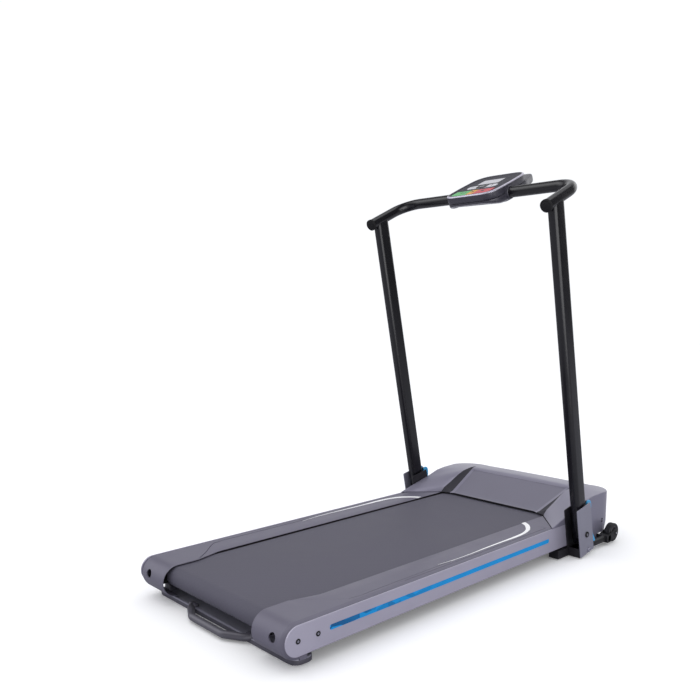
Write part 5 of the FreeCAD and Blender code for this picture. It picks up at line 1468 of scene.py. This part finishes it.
def console_shells():
    rim = in_mm("bezel_width")
    low_edge, top = RING_BOTTOM, RING_TOP
    upper = Solid().stack(FACE, ((2.6, low_edge), (1.4, low_edge + 1), (0.5, low_edge + 6),
                                 (0, top - 7), (0.3, top - 3.6), (1.4, top - 1.4),
                                 (3.4, top - 0.3), (5, top), (rim - 3, top),
                                 (rim - 1.2, top - 0.6), (rim - 0.4, PANEL_TOP - 0.2),
                                 (rim, PANEL_TOP - 0.8)))
    # painted highlight: the ring's rounded outer edge is the bright line; its sides stay dark
    for index in range(4 * len(FACE), 7 * len(FACE)):
        upper.finishes[index] = 1
    part("console_face_ring", upper.moved(on_console()),
         [console_abs_dark(), console_paint()], "console", "console_silver",
         ("console_upper_shell",), sharp=40)
    lower = Solid().rings([[(x, v, belly(v) + share * (low_edge - 0.6 - belly(v)))
                            for x, v in shrunk(BODY, inset)]
                           for inset, share in ((10, 0), (7, 0.004), (3.6, 0.05), (1.4, 0.16),
                                                (0.6, 0.4), (0.3, 0.7), (0.9, 0.9),
                                                (2.4, 0.98), (5, 1.0))])
    # painted light: the lowest rows are pale on the user's side, where the body is thin
    for index in range(3 * len(BODY)):
        if lower.corners[lower.faces[index][0]].y < -28:
            lower.finishes[index] = 1
    part("console_body_shell", lower.moved(on_console()),
         [console_abs_dark(), console_abs_light()], "console", "console_silver",
         ("console_lower_shell",), sharp=40)
    collar = [(26, 66), (25, 78), (22.6, 87), (20.4, 93), (19.2, 97), (18.6, 99),
              (17.6, 99.8), (16.6, 99.8), (16.6, 66)]
    for side, sign in (("right", 1), ("left", -1)):
        solid = Solid().turned([(r, x * sign) for r, x in collar], CONSOLE, 48)
        part(f"console_collar_{side}", solid, [console_abs_dark()], "console",
             "console_silver", sharp=40)


def slab(outline, bottom, top, finish=0):
    """A flat piece of the console, between two heights over its middle plane."""
    return Solid().prism(outline, bottom, top, axis="z", finish=finish)


def console_panel():
    rim = in_mm("bezel_width")
    film = slab(shrunk(FACE, rim + 0.4), PANEL_TOP - 1.3, PANEL_TOP)
    part("console_panel_film", film.moved(on_console()), [panel_film()], "console",
         "panel_film", ("console_panel",), bevel=0.3, segments=1)
    window = rounded([(-40, 27), (40, 27), (40, 73), (-40, 73)], 3)
    frame_line = slab(window, PANEL_TOP - 0.5, PANEL_TOP + 0.25)
    part("console_display_frame", frame_line.moved(on_console()), [black_abs()], "console",
         "panel_film", bevel=0.15, segments=1)
    glass = slab(shrunk(window, 1.6), PANEL_TOP, PANEL_TOP + 0.45)
    part("console_display_glass", glass.moved(on_console()), [display_glass()], "console",
         "key_white", bevel=0.15, segments=1)
    pill = rounded([(-54, -11.5), (54, -11.5), (54, 15.5), (-54, 15.5)], 13, 6)
    backing = slab(pill, PANEL_TOP - 0.5, PANEL_TOP + 0.3)
    part("console_pill_backing", backing.moved(on_console()),
         [key_cap("white", linear(WHITE_KEY))], "console", "key_white", bevel=0.2,
         segments=1)


def arch_floor(x):
    """The V of the keys' curved edge, just inside the console's ring."""
    edge = shrunk(FACE, in_mm("bezel_width") + 3.2)
    spots = []
    for (x0, v0), (x1, v1) in zip(edge, edge[1:] + edge[:1]):
        if (x0 - x) * (x1 - x) <= 0 and x0 != x1:
            spots.append(v0 + (v1 - v0) * (x - x0) / (x1 - x0))
    return min(spots)


ARCH_TOP = -31


def arch_key(start, end):
    """One key of the curved row along the user's edge."""
    steps = 14
    curve = []
    for k in range(steps + 1):
        x = start + (end - start) * k / steps
        curve.append((x, arch_floor(x)))
    curve = [spot for spot in curve if spot[1] < ARCH_TOP - 1]
    corners = curve + [(curve[-1][0], ARCH_TOP), (curve[0][0], ARCH_TOP)]
    return slab(corners, PANEL_TOP - 1.5, PANEL_TOP + in_mm("key_rise"))


def play_mark():
    solid = slab([(-44, -54), (-33, -47.5), (-44, -41)], 0, 0.2)
    return solid.prism([(-30.5, -53.5), (-27.5, -53.5), (-27.5, -41.5), (-30.5, -41.5)], 0,
                       0.2, "z")


def stop_mark():
    return slab([(31, -53), (42, -53), (42, -42), (31, -42)], 0, 0.2)


def mode_mark():
    ring = [(5.5 * math.cos(math.pi * k / 12), -48 + 5.5 * math.sin(math.pi * k / 12))
            for k in range(24)]
    return slab(ring, 0, 0.2)


def minus_mark():
    return slab([(-42, 0.7), (-30, 0.7), (-30, 3.3), (-42, 3.3)], 0, 0.2)


def plus_mark():
    arms = [(-6, -1.3), (-1.3, -1.3), (-1.3, -6), (1.3, -6), (1.3, -1.3), (6, -1.3),
            (6, 1.3), (1.3, 1.3), (1.3, 6), (-1.3, 6), (-1.3, 1.3), (-6, 1.3)]
    return slab([(36 + x, 2 + v) for x, v in arms], 0, 0.2)


def program_mark():
    return slab(rounded([(-9, 0.3), (9, 0.3), (9, 3.7), (-9, 3.7)], 1.5), 0, 0.2)


def console_keys():
    rise = PANEL_TOP + in_mm("key_rise")
    left = rounded([(-52.5, -10), (-21, -10), (-21, 14), (-52.5, 14)], [11.5, 2, 2, 11.5])
    right = [(-x, v) for x, v in reversed(left)]
    middle_key = rounded([(-19.5, -11), (19.5, -11), (19.5, 15), (-19.5, 15)], 12, 7)
    dark, light = printed_mark("dark", "#2A2930"), printed_mark("light", "#C9C9D0")
    keys = (
        ("start_button", arch_key(-70, -13), key_cap("green", chosen("start_key")),
         "key_green", play_mark(), dark, 0),
        ("mode_button", arch_key(-11, 11), key_cap("amber", chosen("mode_key")),
         "key_yellow", mode_mark(), dark, 0),
        ("stop_button", arch_key(13, 70), key_cap("red", chosen("stop_key")),
         "key_red", stop_mark(), dark, 0),
        ("slower_button", slab(left, PANEL_TOP - 1.5, rise),
         key_cap("white", linear(WHITE_KEY)), "key_white", minus_mark(), dark, 0),
        ("faster_button", slab(right, PANEL_TOP - 1.5, rise),
         key_cap("white", linear(WHITE_KEY)), "key_white", plus_mark(), dark, 0),
        ("program_button", slab(middle_key, PANEL_TOP - 1.5, rise + 0.5),
         key_cap("dark", linear("#1C1B21")), "key_white", program_mark(), light, 0.5),
    )
    for node, solid, made_of, slot, mark, ink, lift in keys:
        part(f"{node}_cap", solid.moved(on_console()), [made_of], node, slot, (node,),
             bevel=0.5, segments=2)
        mark.corners = [corner + Vector((0, 0, rise + lift - 0.05)) for corner in mark.corners]
        part(f"{node}_mark", mark.moved(on_console()), [ink], node, "panel_film")


def safety_key():
    """The pull-out stop key: a flat stem and a rounded grip with finger ribs."""
    solid = slab([(-10, 168), (10, 168), (10, 187), (-10, 187)], -9.6, -4.4)
    grip = rounded([(-15, 184.8), (15, 184.8), (16, 190), (14, 200), (-14, 200), (-16, 190)],
                   4)
    solid.stack(grip, ((2.5, -12.6), (0.6, -12), (0, -10), (0, -4), (0.6, -2.4),
                       (2.5, -1.8)))
    for v in (191, 194, 197):
        solid.prism([(-10, v - 0.7), (10, v - 0.7), (10, v + 0.7), (-10, v + 0.7)], -2.4,
                    -1.2, "z")
    part("safety_key_grip", solid.moved(on_console()), [blue_abs()], "safety_key",
         "lever_blue", ("safety_key",), bevel=0.5, segments=2, sharp=45)


# ---------------------------------------------------------------- fasteners and drive


def screw_head(radius, rise):
    """A pan head with a round socket, facing +X."""
    socket = radius * 0.5
    return Solid().turned([(0, rise * 0.35), (socket, rise * 0.35), (socket, rise),
                           (radius * 0.8, rise), (radius, rise * 0.6), (radius, -1.2),
                           (0, -1.2)], (0, 0, 0), 20, closed=False)


def trim_screws():
    """The side covers' screws in their cup washers, and the hood's small screws."""
    bottom, top = low("trim_screws"), high("trim_screws")
    z = middle("side_cover_right").z
    cup = Solid().turned([(2.7, 0.2), (2.7, 1.3), (5.0, 1.5), (5.9, 0.9), (5.9, -1.2),
                          (2.7, -1.2)], (0, 0, 0), 24)
    core = Solid().turned([(0, 0.5), (1.2, 0.5), (1.4, 1.1), (2.7, 1.0), (2.7, -1), (0, -1)],
                          (0, 0, 0), 20, closed=False)
    rows = [(y, z) for y in (bottom.y + 4.5, along(87))]
    small = [(top.y - 4.5, z + 6.4), (top.y - 4.5, z - 0.8)]
    spots = [Vector((HALF * side, y, height)) for side in (-1, 1) for y, height in rows]
    ways = [Vector((side, 0, 0)) for side in (-1, 1) for _ in rows]
    seated(repeated("trim_cup_washers", cup, spots, ways, black_oxide_steel()), "base",
           ("trim_screws",))
    seated(repeated("trim_screw_heads", core, spots, ways, satin_enamel_grey()), "base")
    spots = [Vector((HALF * side, y, height)) for side in (-1, 1) for y, height in small]
    piece = repeated("hood_screw_heads", screw_head(3.0, 1.2), spots, ways, black_oxide_steel())
    seated(piece, "base")


def bracket_bolts():
    """The mast's and the stand's pivot bolts: dark ring, bright middle."""
    for name, spot, radius in (("mast", PIVOT, 8.8), ("stand", STAND_PIN, 7.4)):
        spots = [Vector((BRACKET_OUTER * side, spot.y, spot.z)) for side in (-1, 1)]
        ways = [Vector((side, 0, 0)) for side in (-1, 1)]
        ring = Solid().turned([(radius * 0.45, 3.6), (radius * 0.8, 3.9), (radius, 2.4),
                               (radius, 0), (radius * 0.45, 0)], (0, 0, 0), 36)
        made_of = black_oxide_steel() if name == "mast" else satin_enamel_grey()
        piece = repeated(f"{name}_bolt_rings", ring, spots, ways, made_of)
        seated(piece, "base", ("bracket_bolts",))
        core = Solid().turned([(0, 1.4), (radius * 0.24, 1.4), (radius * 0.28, 3.2),
                               (radius * 0.43, 3.2), (radius * 0.45, 0), (0, 0)], (0, 0, 0),
                              24, closed=False)
        piece = repeated(f"{name}_bolt_cores", core, spots, ways, satin_enamel_grey())
        seated(piece, "base")


def drive_belt_ribs():
    """Cross ribs on the back of the drive belt."""
    motor, roller = joint_spot("motor_spin"), joint_spot("front_roller_spin")
    belt_low, belt_high = low("drive_belt"), high("drive_belt")
    rings = ((roller, (roller.y - belt_low.y)), (motor, (belt_high.y - motor.y)))
    (rear, big), (front, small) = rings
    span = Vector((0, front.y - rear.y, front.z - rear.z))
    run = span.length
    lean = math.atan2(span.z, span.y)
    swing = math.asin((big - small) / run)
    straight = math.sqrt(run ** 2 - (big - small) ** 2)
    spots, ways = [], []
    pitch = in_mm("rib_pitch")
    x = (belt_low.x + belt_high.x) / 2
    for side in (-1, 1):
        turn = lean + side * (math.pi / 2 - swing)
        way = Vector((0, math.cos(turn), math.sin(turn)))
        start = Vector((x, rear.y, rear.z)) + way * big
        end = Vector((x, front.y, front.z)) + way * small
        for k in range(int(straight / pitch)):
            spots.append(start.lerp(end, (k + 0.5) * pitch / straight))
            ways.append(way)
    for centre, radius, first, last in ((rear, big, lean + math.pi / 2 - swing,
                                         lean + math.pi * 1.5 + swing),
                                        (front, small, lean - math.pi / 2 + swing,
                                         lean + math.pi / 2 - swing)):
        count = max(2, int(abs(last - first) * radius / pitch))
        for k in range(count):
            turn = first + (last - first) * (k + 0.5) / count
            way = Vector((0, math.cos(turn), math.sin(turn)))
            spots.append(Vector((x, centre.y, centre.z)) + way * radius)
            ways.append(way)
    half = (belt_high.x - belt_low.x) / 2 - 0.5
    rib = Solid().prism([(-0.9, -half), (0.9, -half), (0.9, half), (-0.9, half)], -0.4, 0.7)
    rib.corners = [Vector((c.x, c.z, c.y)) for c in rib.corners]
    piece = repeated("drive_belt_cross_ribs", rib, spots, ways, moulded_rubber())
    seated(piece, "base")


CAD_FINISHES = {
    "frame_rail_left": powder_coat_black, "frame_rail_right": powder_coat_black,
    "cross_members": powder_coat_black, "walking_board": fibre_board,
    "deck_cushions": moulded_rubber, "floor_pads": moulded_rubber,
    "tension_bolts": zinc_plate, "rear_roller_shaft": zinc_plate,
    "front_roller_shaft": zinc_plate, "motor_pan": black_abs, "drive_motor": motor_enamel,
    "motor_bracket": powder_coat_black, "drive_belt": moulded_rubber,
    "motor_controller": anodised_heat_sink, "power_inlet": black_abs,
    "rear_roller": turned_steel, "rear_roller_bearings": zinc_plate,
    "front_roller": turned_steel, "front_roller_bearings": zinc_plate,
    "roller_pulley": die_cast_pulley, "motor_shaft": turned_steel,
    "motor_flywheel": cast_iron, "motor_pulley": die_cast_pulley,
    "lever_mounts": powder_coat_black, "console_board": circuit_board,
    "power_switch": black_abs,
}


def frame_finishes():
    """Gives every part of the frame that still shows its own finish."""
    for name, made_of in CAD_FINISHES.items():
        node = frame["nodes"][name]
        material = made_of()
        if not node.material_slots:
            node.data.materials.append(material)
        for place in node.material_slots:
            place.material = material


# ---------------------------------------------------------------- stage


FLOOR_BOUNCE, FLOOR_GLOW = (0.5, 0.5, 0.54, 1), 0.13
WORLD_SEEN, WORLD_LIGHT, DIM_ROOM = 1.05, 0.95, 0.12
# where each bright band lies, its faint and its full edge (as a cosine), and its strength
BRIGHT_BANDS = (((0.0, 0.30, 0.95), 0.93, 0.985, 1.5), ((0.87, -0.5, 0.0), 0.64, 0.9, 1.3),
                ((-0.45, 0.85, 0.28), 0.6, 0.95, 0.9), ((-0.73, -0.5, 0.42), 0.82, 0.98, 1.7))


def seen_straight(tree, rays):
    """One for a ray from the camera, also through clear material, and zero for the others."""
    return add(tree, "ShaderNodeMath", {"operation": "MAXIMUM"},
               {0: rays.outputs["Is Camera Ray"],
                1: rays.outputs["Is Transmission Ray"]}).outputs["Value"]


def white_backdrop():
    """A floor that shows white, keeps the object's shadow and lights it evenly."""
    material = bpy.data.materials.new("matt_white_floor")
    material.use_nodes = True
    tree = material.node_tree
    tree.nodes.clear()
    place = add(tree, "ShaderNodeTexCoord").outputs["Object"]
    cloud = add(tree, "ShaderNodeTexNoise", {"Scale": 1.5, "Detail": 3.0},
                {"Vector": place}).outputs["Fac"]
    tint = add(tree, "ShaderNodeValToRGB", links={"Fac": cloud},
               stops=((0.3, (0.965, 0.965, 0.975)),
                      (0.7, (0.98, 0.98, 0.99)))).outputs["Color"]
    seen = seen_straight(tree, add(tree, "ShaderNodeLightPath"))
    drawn = add(tree, "ShaderNodeMix", {"data_type": "RGBA", 6: FLOOR_BOUNCE},
                {0: seen, 7: tint}).outputs[2]
    matt = add(tree, "ShaderNodeBsdfDiffuse", links={"Color": drawn})
    glow = add(tree, "ShaderNodeEmission", {"Color": (1, 1, 1, 1)})
    strength = add(tree, "ShaderNodeMath", {"operation": "MULTIPLY", 1: FLOOR_GLOW},
                   {0: seen})
    tree.links.new(strength.outputs["Value"], glow.inputs["Strength"])
    both_lit = add(tree, "ShaderNodeAddShader",
                   links={0: matt.outputs["BSDF"], 1: glow.outputs["Emission"]})
    add(tree, "ShaderNodeOutputMaterial", links={"Surface": both_lit.outputs["Shader"]})
    return material


def stage_world():
    world = bpy.data.worlds.new("studio")
    world.use_nodes = True
    tree = world.node_tree
    tree.nodes.clear()
    rays = add(tree, "ShaderNodeLightPath")
    facing = add(tree, "ShaderNodeTexCoord").outputs["Generated"]
    # what shines on the object: a dim room with soft boxes overhead, behind and to one side
    mirrored = None
    for way, first, last, strength in BRIGHT_BANDS:
        toward = add(tree, "ShaderNodeVectorMath", {"operation": "DOT_PRODUCT",
                                                    1: Vector(way).normalized()},
                     {0: facing}).outputs["Value"]
        band = add(tree, "ShaderNodeMapRange", {"From Min": first, "From Max": last,
                                                "To Min": DIM_ROOM, "To Max": strength},
                   {"Value": toward}).outputs["Result"]
        mirrored = band if mirrored is None else add(
            tree, "ShaderNodeMath", {"operation": "MAXIMUM"},
            {0: mirrored, 1: band}).outputs["Value"]
    soft = add(tree, "ShaderNodeMix", {"data_type": "FLOAT", 2: WORLD_LIGHT},
               {0: rays.outputs["Is Glossy Ray"], 3: mirrored}).outputs["Result"]
    strength = add(tree, "ShaderNodeMix", {"data_type": "FLOAT", 3: WORLD_SEEN},
                   {0: seen_straight(tree, rays), 2: soft}).outputs["Result"]
    light = add(tree, "ShaderNodeBackground", {"Color": (0.965, 0.975, 1.0, 1)},
                {"Strength": strength})
    add(tree, "ShaderNodeOutputWorld", links={"Surface": light.outputs["Background"]})
    bpy.context.scene.world = world


def soft_light(name, spot, aim, size, power):
    """A large square lamp."""
    lamp = bpy.data.lights.new(name, "AREA")
    lamp.shape = "SQUARE"
    lamp.size = size
    lamp.energy = power
    holder = link(name, lamp)
    holder.visible_camera = False
    holder.location = spot
    holder.rotation_euler = (Vector(aim) - Vector(spot)).to_track_quat("-Z", "Y").to_euler()
    return holder


def stage():
    plane = Solid()
    reach = 12000
    plane.corners = [Vector(c) for c in ((-reach, -reach, 0), (reach, -reach, 0),
                                         (reach, reach, 0), (-reach, reach, 0))]
    plane.face([0, 1, 2, 3])
    floor = link("floor", mesh_of("floor", plane, merge=False))
    floor.data.materials.append(white_backdrop())
    stage_world()
    soft_light("key_light", (-1.2, -1.6, 3.4), (0.0, 0.1, 0.3), 2.6, 20)
    soft_light("back_light", (0.6, 3.2, 2.2), (0.0, 0.3, 0.3), 2.0, 10)
    # a wide soft box that only shines: it draws the streak down the enamelled tubes
    strip = soft_light("strip_light", (1.85, -0.40, 0.98), (0.1, 0.45, 0.7), 2.4, 30)
    strip.data.shape, strip.data.size_y, strip.visible_diffuse = "RECTANGLE", 1.9, False
    lens = bpy.data.cameras.new("camera")
    lens.sensor_width = 36
    lens.lens = 38.25
    lens.shift_x, lens.shift_y = -0.0331, 0.0926
    camera = link("camera", lens)
    ahead = Vector((-0.70745, 0.69179, -0.14470)).normalized()
    right = ahead.cross(Vector((0, 0, 1))).normalized()
    up = right.cross(ahead)
    turn = Matrix((right, up, -ahead)).transposed().to_4x4()
    camera.matrix_world = Matrix.Translation((1.4187, -1.5258, 0.7359)) @ turn
    bpy.context.scene.camera = camera
    bpy.context.scene.view_settings.view_transform = "Standard"


# ---------------------------------------------------------------- operators


class TreadmillStep(bpy.types.Operator):
    """Makes some pieces of the treadmill"""
    bl_idname = "treadmill.step"
    bl_label = "Treadmill step"
    bl_options = {"REGISTER", "UNDO"}
    makers = ()

    def execute(self, context):
        for maker in self.makers:
            maker()
        return {"FINISHED"}


class TREADMILL_OT_belt(TreadmillStep):
    """Lays the woven walking belt round both rollers"""
    bl_idname = "treadmill.belt"
    bl_label = "Walking belt"
    makers = (walking_belt,)


class TREADMILL_OT_rails(TreadmillStep):
    """Moulds the foot rails beside the belt, with their bright strips of painted highlight"""
    bl_idname = "treadmill.rails"
    bl_label = "Foot rails"
    makers = (foot_rails,)


class TREADMILL_OT_covers(TreadmillStep):
    """Fits the painted side covers and their stripes"""
    bl_idname = "treadmill.covers"
    bl_label = "Side covers"
    makers = (side_covers,)


class TREADMILL_OT_rear_bar(TreadmillStep):
    """Builds the tray under the rear end and the handle behind it"""
    bl_idname = "treadmill.rear_bar"
    bl_label = "Rear tray and handle"
    makers = (rear_bar, lift_handle)


class TREADMILL_OT_hood(TreadmillStep):
    """Forms the motor hood, the black strip of painted shade along its joint, its feet, and the
    belly pan's louvres
    """
    bl_idname = "treadmill.hood"
    bl_label = "Motor hood"
    makers = (hood, hood_joint_painted_shade, end_feet, pan_vents)


class TREADMILL_OT_mast(TreadmillStep):
    """Raises the uprights and the handlebar out of their brackets"""
    bl_idname = "treadmill.mast"
    bl_label = "Mast and brackets"
    makers = (brackets, mast)


class TREADMILL_OT_levers(TreadmillStep):
    """Hangs the two lock levers"""
    bl_idname = "treadmill.levers"
    bl_label = "Lock levers"
    makers = (lock_levers,)


class TREADMILL_OT_stand(TreadmillStep):
    """Builds the transport stand and its wheels"""
    bl_idname = "treadmill.stand"
    bl_label = "Stand and wheels"
    makers = (stand, wheels)


class TREADMILL_OT_console(TreadmillStep):
    """Builds the console: shells, panel, display, keys and safety key"""
    bl_idname = "treadmill.console"
    bl_label = "Console"
    makers = (console_shells, console_panel, console_keys, safety_key)


class TREADMILL_OT_fasteners(TreadmillStep):
    """Sets the screws and the pivot bolts"""
    bl_idname = "treadmill.fasteners"
    bl_label = "Fasteners"
    makers = (trim_screws, bracket_bolts)


class TREADMILL_OT_drive(TreadmillStep):
    """Adds the drive belt's ribs and finishes the parts of the frame that show"""
    bl_idname = "treadmill.drive"
    bl_label = "Drive and frame finishes"
    makers = (drive_belt_ribs, frame_finishes)


class TREADMILL_OT_stage(TreadmillStep):
    """Sets the floor, the soft lights and the camera"""
    bl_idname = "treadmill.stage"
    bl_label = "Stage"
    makers = (stage,)


STEPS = (TREADMILL_OT_belt, TREADMILL_OT_rails, TREADMILL_OT_covers, TREADMILL_OT_rear_bar,
         TREADMILL_OT_hood, TREADMILL_OT_mast, TREADMILL_OT_levers, TREADMILL_OT_stand,
         TREADMILL_OT_console, TREADMILL_OT_fasteners, TREADMILL_OT_drive,
         TREADMILL_OT_stage)


class TREADMILL_PT_sidebar(bpy.types.Panel):
    """Lists the treadmill's steps, sizes and colours"""
    bl_idname = "TREADMILL_PT_sidebar"
    bl_label = "Treadmill"
    bl_space_type = "VIEW_3D"
    bl_region_type = "UI"
    bl_category = "Treadmill"

    def draw(self, context):
        layout = self.layout
        for group in (context.scene.treadmill_sizes, context.scene.treadmill_colours):
            box = layout.box()
            for name in group.__annotations__:
                box.prop(group, name)
        for step in STEPS:
            layout.operator(step.bl_idname)


CLASSES = (TreadmillSizes, TreadmillColours, *STEPS, TREADMILL_PT_sidebar)


def register():
    for item in CLASSES:
        bpy.utils.register_class(item)
    bpy.types.Scene.treadmill_sizes = bpy.props.PointerProperty(type=TreadmillSizes)
    bpy.types.Scene.treadmill_colours = bpy.props.PointerProperty(type=TreadmillColours)


def unregister():
    del bpy.types.Scene.treadmill_colours
    del bpy.types.Scene.treadmill_sizes
    for item in reversed(CLASSES):
        bpy.utils.unregister_class(item)


def main():
    register()
    for step in STEPS:
        group, name = step.bl_idname.split(".")
        getattr(getattr(bpy.ops, group), name)()


if __name__ == "__main__":
    main()
